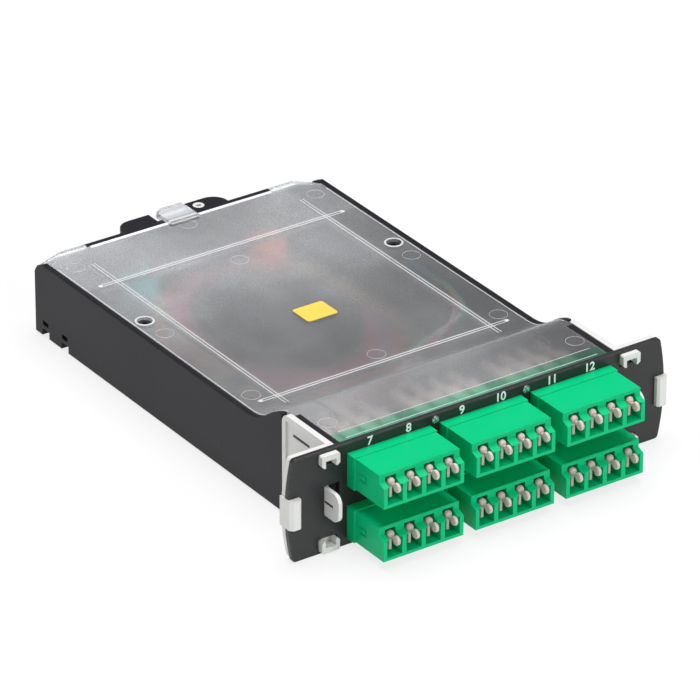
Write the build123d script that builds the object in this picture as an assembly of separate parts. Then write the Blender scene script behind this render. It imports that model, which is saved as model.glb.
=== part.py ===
from build123d import *
import os

# Fibre patch panel module: a tray with a frosted lid, a clipped-on faceplate and
# six quad adapters. Millimetres. X runs right along the ports, Y runs back, Z is up.
# The origin is the middle of the underside of the whole module.

# Faceplate
PLATE_TOP_MARGIN = 3.35
PLATE_END_MARGIN = 12.6
PLATE_END_BULGE = 1.8
PLATE_THICKNESS = 1.6
PLATE_CORNER_RADIUS = 1.2
PLATE_EDGE_BEVEL = 0.25

# Ports and adapter housings
PORT_PITCH = 6.25
PORTS_PER_ADAPTER = 4
PORT_WIDTH = 4.9
PORT_HEIGHT = 5.2
LATCH_CHANNEL_WIDTH = 3.5
LATCH_CHANNEL_HEIGHT = 2.2
ADAPTER_SIDE_WALL = 1.2
ADAPTER_FLOOR = 0.9
ADAPTER_ROOF = 1.05
ADAPTER_COLUMNS = 3
COLUMN_PITCH = 30.1
ROW_PITCH = 16.1
LOWER_ROW_Z = 2.5
LIP_REACH = 16.6
LIP_SETBACK = 2.25
LIP_SLOPE_RISE = 0.95
ADAPTER_REAR_REACH = 6.0
ADAPTER_MARGIN = 1.375
COLLAR_LENGTH = 3.4
COLLAR_SIDE = 0.45
COLLAR_TOP = 0.3
PARTITION_FRONT = 4.6
PARTITION_THICKNESS = 2.0
FERRULE_AXIS_RISE = 2.6
SLEEVE_RADIUS = 1.5
SLEEVE_SIDES = 8
SLEEVE_LENGTH = 5.0
REAR_PORT_HEIGHT = 6.4
FERRULE_BORE_RADIUS = 0.64
SIDE_MARK_WIDTH = 4.2
SIDE_MARK_HEIGHT = 2.2
SIDE_MARK_DEPTH = 0.25
SIDE_MARK_AHEAD = 8.6
BARB_LENGTH = 3.0
BARB_STAND = 0.55

# Dust plugs
PLUG_CLEARANCE = 0.12
PLUG_CUP_WALL = 0.5
PLUG_CUP_LENGTH = 4.2
PLUG_CUP_FACE = 1.0
PLUG_SPINE_THICKNESS = 1.0
PLUG_SPINE_LENGTH = 1.3
PLUG_NUB_RADIUS = 1.15
PLUG_NUB_LENGTH = 2.2
PLUG_NUB_RISE = 3.05
PLUG_GRIP_RADIUS = 1.35
PLUG_GRIP_AHEAD = 4.2
PLUG_GRIP_RISE = 2.45
PLUG_GRIP_FACET = 0.41
PLUG_SPINE_DROP = 0.8
PLUG_ARM_HEIGHT = 1.5

# Tray
BODY_DEPTH = 149.8
BODY_BOTTOM = 0.5
BODY_TOP = 23.0
LID_SETDOWN = 0.5
RAMP_FRONT = 21.0
RAMP_LENGTH = 21.0
WALL = 1.8
FLOOR = 1.8
LEDGE_WIDTH = 1.4
LEDGE_DEPTH = 3.2
NECK_END = 24.2
NECK_WALL = 1.8
CORNER_CUT_LENGTH = 4.0
CORNER_CUT_DROP = 3.4
REAR_CREST_INSET = 16.7
NOTCH_SETBACKS = (5.4, 15.6)
NOTCH_LENGTH = 3.6
NOTCH_HEIGHT = 2.1
WINDOW_LENGTH = 3.0
WINDOW_HEIGHT = 1.5
WINDOW_DEPTH = 0.7
WINDOW_RISE = 1.3
EAR_SPAN = 36.0
EAR_REACH = 5.7
EAR_THICKNESS = 2.2
EAR_CORNER_RADIUS = 5.0
EAR_NOTCH_WIDTH = 12.0
EAR_HOLE_RADIUS = 1.8
EAR_HOLE_OFFSET = 9.4

# Lid
LID_THICKNESS = 1.6
LID_CLEARANCE = 0.1
LID_STEP_IN = 2.0
LID_CORNER_CUT_X = 8.4
LID_CORNER_CUT_Y = 8.0
LID_CORNER_CUT_Z = 2.6
LID_RIB_HEIGHT = 1.2
LID_RIB_WIDTH = 1.0
LID_RIB_INSET = 12.5
LID_RIB_BEHIND_RAMP = 2.8
LID_RIB_SETBACK = 24.2
LID_RIB_RUN_ON = 14.0
LID_RIB_START = 4.0
LID_RIB_OVERHANG = 5.6
TONGUE_WIDTH = 9.6
TONGUE_LIP_HEIGHT = 2.0
TONGUE_LIP_DEPTH = 3.6
TONGUE_LIP_THICKNESS = 1.3
TONGUE_CORNER_RADIUS = 1.6
SCREW_INSET = 5.9
SCREW_SETBACK = 48.6
SCREW_HEAD_RADIUS = 2.1
SCREW_HEAD_HEIGHT = 1.2
SCREW_SHANK_RADIUS = 1.0
SCREW_LENGTH = 8.0
SCREW_RECESS_RADIUS = 2.35
SCREW_RECESS_DEPTH = 2.0
SCREW_BOSS_RADIUS = 3.0
SCREW_BOSS_FLOOR = 1.2
SCREW_CLEARANCE = 0.06
POST_RADIUS = 2.9
DRIVE_RADIUS = 1.0
DRIVE_DEPTH = 0.7
LABEL_WIDTH = 10.2
LABEL_DEPTH = 8.4
LABEL_SETBACK = 70.8
LABEL_THICKNESS = 0.2
LABEL_CORNER_RADIUS = 0.9

# Side brackets
FLANGE_THICKNESS = 2.0
FLANGE_INSET = 0.35
FLANGE_OVERLAP = 4.8
ARM_THICKNESS = 1.8
ARM_SETDOWN = 0.3
ARM_BOTTOM = 0.7
ARM_RIM = 1.7
ARM_RECESS = 0.6
ARM_CORNER_RADIUS = 2.6
ARM_SLIT_LENGTH = 7.8
ARM_SLIT_HEIGHT = 0.9
ARM_SLIT_DEPTH = 0.7
ARM_SLIT_DROP = 5.9
ARM_SLIT_FRONT = 11.8
ARM_PEG_RADIUS = 1.5
ARM_PEG_LENGTH = 1.2
ARM_PEG_DROP = 6.7
PEG_SIDES = 8
FIT_GAP = 0.1
LEVER_WINDOW_MARGIN = 1.8
HOOK_STAND = 1.6
HOOK_WIDTH = 5.8
HOOK_HEIGHT = 3.3
HOOK_WALL = 1.2
HOOK_REACH = 1.7
HOOK_EDGE_OFFSET = 0.8
HOOK_CATCH = 0.4
HOOK_CORNER = 0.7
SLOT_CLEARANCE = 0.15
EDGE_HOOK_HEIGHT = 8.8
EDGE_HOOK_DROP = 0.25
EDGE_HOOK_WEB = 1.4
EDGE_HOOK_LIP = 3.7
EDGE_HOOK_REACH = 1.8

# Release levers
LEVER_STAND = 2.0
LEVER_THICKNESS = 1.2
LEVER_HEIGHT = 8.4
LEVER_RISE = 0.15
LEVER_PIVOT_BEHIND = 14.0
LEVER_TAB_REACH = 6.6
LEVER_TAB_RADIUS = 2.6
LEVER_SLIT_LENGTH = 4.2
LEVER_SLIT_HEIGHT = 0.8
LEVER_HUB_RADIUS = 1.5
LEVER_PIN_RADIUS = 0.9
LEVER_PIN_LENGTH = 1.4
LEVER_PIN_CLEARANCE = 0.05
LEVER_SIDE_GAP = 0.3
LEVER_TOOTH_STAND = 1.1
LEVER_TOOTH_LENGTH = 3.0
LEVER_TOOTH_CLEARANCE = 0.2
FRAME_THICKNESS = 2.0
LEVER_TOOTH_HEIGHT = 5.0
LEVER_SLOT_WIDTH = 5.3
LEVER_SLOT_HEIGHT = 9.4
LUG_THICKNESS = 1.6
LUG_RADIUS = 2.3

# Small studs in the faceplate
STUD_DROP = 1.6
STUD_HEAD_RADIUS = 1.15
STUD_HEAD_HEIGHT = 0.9
STUD_SHANK_RADIUS = 0.6
STUD_LENGTH = 1.5
STUD_CLEARANCE = 0.05

# Trunk adapters in the rear wall
TRUNK_SPACING = 44.0
TRUNK_Z = 10.2
TRUNK_WIDTH = 13.4
TRUNK_HEIGHT = 9.2
TRUNK_WALL = 0.8
TRUNK_OUTSIDE = 8.0
TRUNK_INSIDE = 10.0
TRUNK_FLANGE_WIDTH = 19.0
TRUNK_FLANGE_HEIGHT = 10.4
TRUNK_FLANGE_THICKNESS = 1.8
TRUNK_FLANGE_CORNER = 0.8
TRUNK_PARTITION = 1.6
TRUNK_KEY_WIDTH = 3.0
TRUNK_KEY_DEPTH = 0.5
TRUNK_PLUG_CLEARANCE = 0.15
TRUNK_PLUG_OUTSIDE = 6.0
TRUNK_BOOT_LENGTH = 5.0
TRUNK_BOOT_TIP = 3.2

# Plugs on the rear of the port adapters
INNER_PLUG_CLEARANCE = 0.15
INNER_PLUG_SIZE = 4.5
INNER_PLUG_OUTSIDE = 13.0
INNER_BOOT_LENGTH = 9.0
INNER_BOOT_TIP_RADIUS = 0.9
INNER_BOOT_RADIUS = 2.0

# Fibre leads from the port connectors to the trunk connectors
LEAD_THICKNESS = 0.7
LEAD_PITCH = 1.05
LEAD_GAP = 0.3
GATHER_REACH = 12.6
GATHER_RISE = 1.6
GATHER_INSET = 1.8
MIDDLE_GATHER_X = 4.0
BUNDLE_RADIUS = 0.8
BUNDLE_SIDES = 6
BUNDLE_ABOVE_COIL = 0.3
BUNDLE_LANE_GAP = 1.6
BUNDLE_END_GAP = 0.1
BUNDLE_SETTLE = 15.0
BUNDLE_TURN = 10.6

# Fibre store
SPOOL_SETBACK = 51.8
SPOOL_RADIUS = 17.0
SPOOL_WALL = 1.4
SPOOL_HEIGHT = 11.0
SPOOL_FLANGE = 4.0
SPOOL_FLANGE_THICKNESS = 1.0
SPOOL_SPOKE_WIDTH = 2.4
SPOOL_HUB_RADIUS = 4.0
COIL_STRAIGHT = 14.0
COIL_WIDTH = 3.4
COIL_HEIGHT = 5.6
COIL_GAP = 0.3
FIBRE_COILS = 4
FINGER_LENGTH = 11.0
FINGER_WIDTH = 4.2
FINGER_THICKNESS = 1.5
FINGER_Z = 16.5
FINGER_POST = 2.4
FINGER_REACH = 33.0

# How far a cutting block runs on past what it cuts
RUN_ON = 100.0

# Places that follow from the sizes above
PLUG_FRONT = LIP_REACH - LIP_SETBACK + 1.0
GRIP_FRONT = PLUG_FRONT - PLUG_NUB_LENGTH + PLUG_GRIP_AHEAD + PLUG_GRIP_RADIUS
FRONT_REACH = max(GRIP_FRONT, LIP_REACH, LEVER_TAB_REACH)
REAR_REACH = BODY_DEPTH + max(TRUNK_OUTSIDE, EAR_REACH)
FACE_Y = (FRONT_REACH - REAR_REACH) / 2
ADAPTER_WIDTH = (PORTS_PER_ADAPTER - 1) * PORT_PITCH + PORT_WIDTH + 2 * ADAPTER_SIDE_WALL
ADAPTER_HEIGHT = ADAPTER_FLOOR + PORT_HEIGHT + LATCH_CHANNEL_HEIGHT + ADAPTER_ROOF
NECK_X = (ADAPTER_COLUMNS - 1) / 2 * COLUMN_PITCH + ADAPTER_WIDTH / 2 + ADAPTER_MARGIN + NECK_WALL
HALF_BODY = NECK_X + FIT_GAP + ARM_THICKNESS
PLATE_CORNER_WIDTH = 2 * (HALF_BODY + PLATE_END_MARGIN)
PLATE_HEIGHT = LOWER_ROW_Z + ROW_PITCH + ADAPTER_HEIGHT + PLATE_TOP_MARGIN
RAISED_TOP = PLATE_HEIGHT - LID_SETDOWN
REAR_CREST_WIDTH = 2 * (HALF_BODY - REAR_CREST_INSET)
LID_RIB_X = HALF_BODY - LID_RIB_INSET
SCREW_X = HALF_BODY - SCREW_INSET
SCREW_Y = BODY_DEPTH - SCREW_SETBACK
LABEL_Y = BODY_DEPTH - LABEL_SETBACK
SPOOL_Y = BODY_DEPTH - SPOOL_SETBACK
FLANGE_INNER_X = HALF_BODY - FLANGE_OVERLAP
ARM_TOP = PLATE_HEIGHT - ARM_SETDOWN
ARM_SLIT_Z = PLATE_HEIGHT - ARM_SLIT_DROP
ARM_PEG_Z = PLATE_HEIGHT - ARM_PEG_DROP
HOOK_X = HALF_BODY + HOOK_STAND
LEVER_X = HALF_BODY + LEVER_STAND
LEVER_Z = PLATE_HEIGHT / 2 + LEVER_RISE
LEVER_WINDOW_BOTTOM = LEVER_Z - LEVER_HEIGHT / 2 - LEVER_WINDOW_MARGIN
LEVER_WINDOW_TOP = LEVER_Z + LEVER_HEIGHT / 2 + LEVER_WINDOW_MARGIN
EDGE_HOOK_BOTTOM = PLATE_HEIGHT / 2 - EDGE_HOOK_DROP - EDGE_HOOK_HEIGHT / 2
EDGE_HOOK_TOP = EDGE_HOOK_BOTTOM + EDGE_HOOK_HEIGHT
STUD_Z = PLATE_HEIGHT - STUD_DROP
LID_X = HALF_BODY - WALL - LID_CLEARANCE
LID_NECK_X = LID_X - LID_STEP_IN
FLANGE_FRONT = PLATE_THICKNESS
FLANGE_REAR = PLATE_THICKNESS + FLANGE_THICKNESS
TOOTH_FRONT = FLANGE_REAR + FRAME_THICKNESS + LEVER_TOOTH_CLEARANCE
RAMP_REAR = RAMP_FRONT + RAMP_LENGTH
LID_RIB_FRONT = RAMP_REAR + LID_RIB_BEHIND_RAMP
LID_RIB_REAR = BODY_DEPTH - LID_RIB_SETBACK
FLOOR_TOP = BODY_BOTTOM + FLOOR
ROW_BOTTOMS = (LOWER_ROW_Z, LOWER_ROW_Z + ROW_PITCH)
COLUMN_CENTRES = [(i - (ADAPTER_COLUMNS - 1) / 2) * COLUMN_PITCH for i in range(ADAPTER_COLUMNS)]
COIL_TOP = FLOOR_TOP + COIL_GAP + COIL_HEIGHT
COIL_REACH = SPOOL_RADIUS + FIBRE_COILS * (COIL_GAP + COIL_WIDTH)
LEAD_START = ADAPTER_REAR_REACH + INNER_PLUG_OUTSIDE + INNER_BOOT_LENGTH + LEAD_GAP
GATHER_Y = LEAD_START + GATHER_REACH
BUNDLE_Z = COIL_TOP + BUNDLE_ABOVE_COIL + BUNDLE_RADIUS
TRUNK_TIP = BODY_DEPTH - TRUNK_INSIDE - TRUNK_PLUG_OUTSIDE - TRUNK_BOOT_LENGTH
PORT_OFFSETS = [(i - (PORTS_PER_ADAPTER - 1) / 2) * PORT_PITCH for i in range(PORTS_PER_ADAPTER)]


def at(behind):
    """Y of a plane so far behind the front of the faceplate."""
    return FACE_Y + behind


def block(x0, x1, y0, y1, z0, z1):
    """A box between two corners, with y counted back from the faceplate's front."""
    size = (x1 - x0, y1 - y0, z1 - z0)
    middle = ((x0 + x1) / 2, at((y0 + y1) / 2), (z0 + z1) / 2)
    return Pos(*middle) * Box(*size)


def side_extrude(outline, x0, x1):
    """Extrude an outline drawn in (behind, z) from x0 to x1."""
    return extrude(Plane.YZ.offset(x0) * Pos(FACE_Y, 0) * outline, x1 - x0)


def front_extrude(outline, y0, y1):
    """Extrude an outline drawn in (x, z) from y0 back to y1."""
    return extrude(Plane.XZ.offset(-at(y1)) * outline, y1 - y0)


def top_extrude(outline, z0, z1):
    """Extrude an outline drawn in (x, behind) from z0 up to z1."""
    return extrude(Plane.XY.offset(z0) * Pos(0, FACE_Y) * outline, z1 - z0)


def rod_y(x, z, y0, y1, radius):
    """A round bar along Y."""
    return front_extrude(Pos(x, z) * Circle(radius), y0, y1)


def rod_z(x, y, z0, z1, radius):
    """A round bar along Z."""
    return top_extrude(Pos(x, y) * Circle(radius), z0, z1)


def bevelled_rectangle(width, height, bevel):
    """A rectangle whose four corners are cut off."""
    face = Rectangle(width, height)
    return chamfer(face.vertices(), bevel)


def mirrored(solid):
    """The same piece on the other side of the middle plane."""
    return mirror(solid, about=Plane.YZ)


def both_sides(solid):
    """A feature and its mirror image."""
    return solid + mirrored(solid)


# The S-shaped roof line
def roof_outline(front, rear, bottom, drop):
    """What lies under the roof line lowered by drop, in (behind, z)."""
    low = BODY_TOP - drop
    high = RAISED_TOP - drop
    middle = (RAMP_FRONT + RAMP_REAR) / 2
    start = -FRONT_REACH
    end = BODY_DEPTH + REAR_REACH
    edges = [
        Line((start, bottom), (start, high)),
        Line((start, high), (RAMP_FRONT, high)),
        Bezier((RAMP_FRONT, high), (middle, high), (middle, low), (RAMP_REAR, low)),
        Line((RAMP_REAR, low), (end, low)),
        Line((end, low), (end, bottom)),
        Line((end, bottom), (start, bottom)),
    ]
    whole = make_face(Curve(children=edges).edges())
    window = Pos((front + rear) / 2, 0) * Rectangle(rear - front, 4 * RAISED_TOP)
    return whole & window


def roof_prism(x0, x1, front, rear, bottom, drop):
    """The solid under the lowered roof line between x0 and x1."""
    return side_extrude(roof_outline(front, rear, bottom, drop), x0, x1)


# Faceplate
def plate_outline(inset):
    """Faceplate outline with bulged ends, in (x, z), shrunk by inset."""
    half = PLATE_CORNER_WIDTH / 2 - inset
    top = PLATE_HEIGHT - inset
    bulge = half + PLATE_END_BULGE
    middle = PLATE_HEIGHT / 2
    edges = [
        Line((-half, top), (half, top)),
        ThreePointArc((half, top), (bulge, middle), (half, inset)),
        Line((half, inset), (-half, inset)),
        ThreePointArc((-half, inset), (-bulge, middle), (-half, top)),
    ]
    face = make_face(Curve(children=edges).edges())
    return fillet(face.vertices(), PLATE_CORNER_RADIUS)


def hook_slot_outline(z):
    """The slot for a snap hook, centred on z."""
    width = HOOK_WIDTH + 2 * SLOT_CLEARANCE
    height = HOOK_HEIGHT + 2 * SLOT_CLEARANCE
    return Pos(HOOK_X, z) * Rectangle(width, height)


HOOK_CENTRES = (
    HOOK_EDGE_OFFSET + HOOK_CATCH + HOOK_HEIGHT / 2,
    PLATE_HEIGHT - HOOK_EDGE_OFFSET - HOOK_CATCH - HOOK_HEIGHT / 2,
)
EDGE_X = PLATE_CORNER_WIDTH / 2 + PLATE_END_BULGE + 0.2
LEVER_SLOT_OUTER = LEVER_X + LEVER_THICKNESS / 2 + SLOT_CLEARANCE


def lever_slot_outline():
    """The window that the release tab comes through."""
    centre = LEVER_SLOT_OUTER - LEVER_SLOT_WIDTH / 2
    return Pos(centre, LEVER_Z) * Rectangle(LEVER_SLOT_WIDTH, LEVER_SLOT_HEIGHT)


def edge_notch():
    """The notch in the plate's end that the edge hook reaches round."""
    depth = EDGE_HOOK_WEB + SLOT_CLEARANCE
    low = EDGE_HOOK_BOTTOM - SLOT_CLEARANCE
    high = EDGE_HOOK_TOP + SLOT_CLEARANCE
    return block(EDGE_X - depth, EDGE_X + 1.0, -1.0, PLATE_THICKNESS + 1.0, low, high)


def make_faceplate():
    """The thin plate with six adapter cut-outs, hook slots and tab windows."""
    plate = front_extrude(plate_outline(0), 0, PLATE_THICKNESS)
    front = plate.faces().sort_by(Axis.Y)[0]
    plate = chamfer(front.outer_wire().edges(), PLATE_EDGE_BEVEL)
    cuts = []
    for x in COLUMN_CENTRES:
        for z in ROW_BOTTOMS:
            width = ADAPTER_WIDTH + 2 * FIT_GAP
            height = ADAPTER_HEIGHT + 2 * FIT_GAP
            hole = Pos(x, z + ADAPTER_HEIGHT / 2) * Rectangle(width, height)
            cuts.append(front_extrude(hole, -1.0, PLATE_THICKNESS + 1.0))
    for outline in (hook_slot_outline(HOOK_CENTRES[0]), hook_slot_outline(HOOK_CENTRES[1]),
                    lever_slot_outline()):
        slot = front_extrude(outline, -1.0, PLATE_THICKNESS + 1.0)
        cuts += [slot, mirrored(slot)]
    notch = edge_notch()
    cuts += [notch, mirrored(notch)]
    for x in stud_places():
        radius = STUD_SHANK_RADIUS + STUD_CLEARANCE
        cuts.append(rod_y(x, STUD_Z, -1.0, PLATE_THICKNESS + 1.0, radius))
    return plate - cuts


def stud_places():
    """One small stud in each gap between the upper adapters."""
    return [(a + b) / 2 for a, b in zip(COLUMN_CENTRES, COLUMN_CENTRES[1:])]


def make_studs():
    """Round-headed studs in the faceplate."""
    studs = []
    for x in stud_places():
        head = rod_y(x, STUD_Z, -STUD_HEAD_HEIGHT, 0, STUD_HEAD_RADIUS)
        rim = head.edges().filter_by(GeomType.CIRCLE).sort_by(Axis.Y)[0]
        head = chamfer(rim, STUD_HEAD_HEIGHT / 2)
        studs.append(head + rod_y(x, STUD_Z, -STUD_HEAD_HEIGHT / 2, STUD_LENGTH, STUD_SHANK_RADIUS))
    return Compound(studs)


# Adapters
def adapter_side():
    """Side outline of an adapter from its lower lip to its rear, in (behind, z)."""
    kink = ADAPTER_FLOOR + PORT_HEIGHT
    set_back = LIP_REACH - LIP_SETBACK
    points = [
        (-LIP_REACH, 0),
        (-LIP_REACH, kink),
        (-set_back, kink + LIP_SLOPE_RISE),
        (-set_back, ADAPTER_HEIGHT),
        (ADAPTER_REAR_REACH, ADAPTER_HEIGHT),
        (ADAPTER_REAR_REACH, 0),
    ]
    return make_face(Polyline(points, close=True).edges())


def sleeve_bar(x, z, y0, y1, radius):
    """An eight-sided bar along Y, for what repeats in every port."""
    return front_extrude(Pos(x, z) * RegularPolygon(radius, SLEEVE_SIDES), y0, y1)


def port_cut(x, y0, y1):
    """Square opening with the latch channel above it."""
    low = ADAPTER_FLOOR
    kink = low + PORT_HEIGHT
    top = kink + LATCH_CHANNEL_HEIGHT
    half = PORT_WIDTH / 2
    channel = LATCH_CHANNEL_WIDTH / 2
    points = [
        (x - half, low), (x + half, low), (x + half, kink), (x + channel, kink),
        (x + channel, top), (x - channel, top), (x - channel, kink), (x - half, kink),
    ]
    return front_extrude(make_face(Polyline(points, close=True).edges()), y0, y1)


def make_adapter():
    """A quad adapter at x = 0 and z = 0, ports front and rear."""
    half = ADAPTER_WIDTH / 2
    axis_z = ADAPTER_FLOOR + FERRULE_AXIS_RISE
    body = side_extrude(adapter_side(), -half, half)
    collar = block(-half - COLLAR_SIDE, half + COLLAR_SIDE, -COLLAR_LENGTH, 0,
                   -COLLAR_TOP, ADAPTER_HEIGHT + COLLAR_TOP)
    body = body + collar
    behind = PLATE_THICKNESS + FIT_GAP
    wedge = [(half, behind), (half + BARB_STAND, behind), (half, behind + BARB_LENGTH)]
    barb_low = ADAPTER_HEIGHT / 2 - BARB_LENGTH / 2
    barb = top_extrude(make_face(Polyline(wedge, close=True).edges()), barb_low, barb_low + BARB_LENGTH)
    body = body + both_sides(barb)
    partition_rear = -PARTITION_FRONT + PARTITION_THICKNESS
    cuts = []
    sleeves = []
    for x in PORT_OFFSETS:
        cuts.append(port_cut(x, -LIP_REACH - 1.0, -PARTITION_FRONT))
        half_port = PORT_WIDTH / 2
        cuts.append(block(x - half_port, x + half_port, partition_rear, ADAPTER_REAR_REACH + 1.0,
                          ADAPTER_FLOOR, ADAPTER_FLOOR + REAR_PORT_HEIGHT))
        sleeve_front = -PARTITION_FRONT - SLEEVE_LENGTH
        sleeves.append(sleeve_bar(x, axis_z, sleeve_front, partition_rear, SLEEVE_RADIUS))
    mark_low = ADAPTER_HEIGHT / 2 - SIDE_MARK_HEIGHT / 2
    mark = block(half - SIDE_MARK_DEPTH, half + 1.0, -SIDE_MARK_AHEAD,
                 -SIDE_MARK_AHEAD + SIDE_MARK_WIDTH, mark_low, mark_low + SIDE_MARK_HEIGHT)
    cuts += [mark, mirrored(mark)]
    body = body - cuts
    body = body + sleeves
    bores = []
    for x in PORT_OFFSETS:
        front = -PARTITION_FRONT - SLEEVE_LENGTH - 1.0
        bores.append(sleeve_bar(x, axis_z, front, partition_rear + 1.0, FERRULE_BORE_RADIUS))
    return body - bores


def make_plug():
    """A dust plug at x = 0 for a port whose adapter stands at z = 0."""
    axis_z = ADAPTER_FLOOR + FERRULE_AXIS_RISE
    inner = SLEEVE_RADIUS + PLUG_CLEARANCE
    outer = inner + PLUG_CUP_WALL
    face = -(PARTITION_FRONT + SLEEVE_LENGTH + PLUG_CLEARANCE + PLUG_CUP_FACE)
    end = face + PLUG_CUP_LENGTH
    cup = sleeve_bar(0, axis_z, face, end, outer)
    hollow = sleeve_bar(0, axis_z, face + PLUG_CUP_FACE, end + 1.0, inner)
    nub_z = axis_z + PLUG_NUB_RISE
    nub = sleeve_bar(0, nub_z, -PLUG_FRONT, -PLUG_FRONT + PLUG_NUB_LENGTH, PLUG_NUB_RADIUS)
    grip_y = -(PLUG_FRONT - PLUG_NUB_LENGTH + PLUG_GRIP_AHEAD)
    grip_z = axis_z + PLUG_GRIP_RISE
    half = PLUG_SPINE_THICKNESS / 2
    spine_front = face - PLUG_SPINE_LENGTH
    lobe = PLUG_GRIP_RADIUS
    facet = lobe * PLUG_GRIP_FACET
    points = [
        (face + PLUG_CUP_FACE / 2, axis_z - outer * PLUG_SPINE_DROP),
        (spine_front, axis_z - outer * PLUG_SPINE_DROP),
        (spine_front, grip_z - PLUG_ARM_HEIGHT / 2),
        (grip_y + facet, grip_z - lobe),
        (grip_y - facet, grip_z - lobe),
        (grip_y - lobe, grip_z - facet),
        (grip_y - lobe, grip_z + facet),
        (grip_y - facet, grip_z + lobe),
        (grip_y + facet, grip_z + lobe),
        (-PLUG_FRONT + PLUG_NUB_LENGTH / 2, nub_z),
        (face + PLUG_CUP_FACE / 2, nub_z),
    ]
    blade = side_extrude(make_face(Polyline(points, close=True).edges()), -half, half)
    return cup - hollow + blade + nub


def make_plugs(x0, z0):
    """The four dust plugs of one adapter."""
    plug = make_plug()
    return Compound([Pos(x0 + x, 0, z0) * plug for x in PORT_OFFSETS])


def make_inner_plugs(z0):
    """The row of connectors plugged into the rear of the adapters."""
    axis_z = z0 + ADAPTER_FLOOR + FERRULE_AXIS_RISE
    half = INNER_PLUG_SIZE / 2
    tip = -PARTITION_FRONT + PARTITION_THICKNESS + INNER_PLUG_CLEARANCE
    body_end = ADAPTER_REAR_REACH + INNER_PLUG_OUTSIDE
    boot_end = body_end + INNER_BOOT_LENGTH
    body = block(-half, half, tip, body_end, axis_z - half, axis_z + half)
    wide = Plane.XZ.offset(-at(body_end)) * Pos(0, axis_z) * RegularPolygon(INNER_BOOT_RADIUS, 8)
    slim = Plane.XZ.offset(-at(boot_end)) * Pos(0, axis_z) * RegularPolygon(INNER_BOOT_TIP_RADIUS, 8)
    plug = body + loft([wide, slim])
    return Compound([Pos(x + offset, 0, 0) * plug for x in COLUMN_CENTRES for offset in PORT_OFFSETS])


# Tray
def corner_cut(x0, x1):
    """The sloped cut on the rear top corner of a side wall."""
    rear = BODY_DEPTH
    points = [
        (rear - CORNER_CUT_LENGTH, BODY_TOP + 0.01),
        (rear - CORNER_CUT_LENGTH * 0.35, BODY_TOP - CORNER_CUT_DROP * 0.35),
        (rear + 0.01, BODY_TOP - CORNER_CUT_DROP),
        (rear + 1.0, BODY_TOP - CORNER_CUT_DROP),
        (rear + 1.0, BODY_TOP + 1.0),
        (rear - CORNER_CUT_LENGTH, BODY_TOP + 1.0),
    ]
    return side_extrude(make_face(Polyline(points, close=True).edges()), x0, x1)


def lid_corner_wedge(drop):
    """What the rear lid corner loses: the space above a sloped plane lowered by drop."""
    rear = BODY_DEPTH
    side_x = HALF_BODY
    base = [
        Vector(side_x - LID_CORNER_CUT_X, at(rear), BODY_TOP - drop),
        Vector(side_x, at(rear - LID_CORNER_CUT_Y), BODY_TOP - drop),
        Vector(side_x, at(rear), BODY_TOP - LID_CORNER_CUT_Z - drop),
    ]
    plane = Plane(origin=base[0], x_dir=base[1] - base[0], z_dir=slope_normal(base))
    return extrude(plane * Rectangle(2 * RUN_ON, 2 * RUN_ON), RUN_ON)


def slope_normal(points):
    """Upward normal of the plane through three points."""
    normal = (points[1] - points[0]).cross(points[2] - points[0])
    return normal if normal.Z > 0 else normal * -1


def make_tray():
    """The moulded tray: walls with a seat for the lid, neck, posts, notches and ears."""
    inner_x = HALF_BODY - WALL
    ledge_x = inner_x - LEDGE_WIDTH
    wide = roof_prism(-HALF_BODY, HALF_BODY, NECK_END, BODY_DEPTH, BODY_BOTTOM, 0)
    neck_front = PLATE_THICKNESS + FIT_GAP
    neck = roof_prism(-NECK_X, NECK_X, neck_front, NECK_END + 0.1, BODY_BOTTOM, 0)
    body = wide + neck
    seat_drop = LID_THICKNESS + LID_CLEARANCE
    over = LID_CLEARANCE
    rear_inside = BODY_DEPTH - WALL
    above = RAISED_TOP + 5.0
    neck_in = NECK_X - NECK_WALL
    lid_pocket = block(-LID_X - over, LID_X + over, RAMP_FRONT - 0.1, rear_inside, 0, above)
    lid_pocket = lid_pocket - roof_prism(-HALF_BODY, HALF_BODY, 0, BODY_DEPTH + 1.0, -1.0, seat_drop)
    neck_pocket = block(-neck_in, neck_in, 0, RAMP_FRONT, BODY_TOP, above)
    cavity = roof_prism(-inner_x, inner_x, NECK_END + WALL, rear_inside, FLOOR_TOP, seat_drop + LEDGE_DEPTH)
    slot = block(-ledge_x, ledge_x, NECK_END, rear_inside - LEDGE_WIDTH, FLOOR_TOP, above)
    neck_cavity = block(-neck_in, neck_in, 0, NECK_END + WALL + 0.1, FLOOR_TOP, above)
    body = body - [lid_pocket, neck_pocket, cavity, slot, neck_cavity]
    crest = REAR_CREST_WIDTH / 2
    cut = corner_cut(crest, HALF_BODY + 1.0)
    body = body - [cut, mirrored(cut)]
    drop = LID_THICKNESS + LID_CLEARANCE
    inner_corner = lid_corner_wedge(drop) & block(crest, inner_x, BODY_DEPTH - 14.0, BODY_DEPTH + 1.0,
                                                  BODY_TOP - 9.0, above)
    shelf = block(crest, inner_x, rear_inside - LEDGE_WIDTH, BODY_DEPTH + 1.0, BODY_TOP - drop, above)
    body = body - [inner_corner, mirrored(inner_corner), shelf, mirrored(shelf)]
    body = body - tray_wall_cuts()
    body = body + tray_ears()
    body = body + tray_posts()
    return body - tray_holes()


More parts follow.
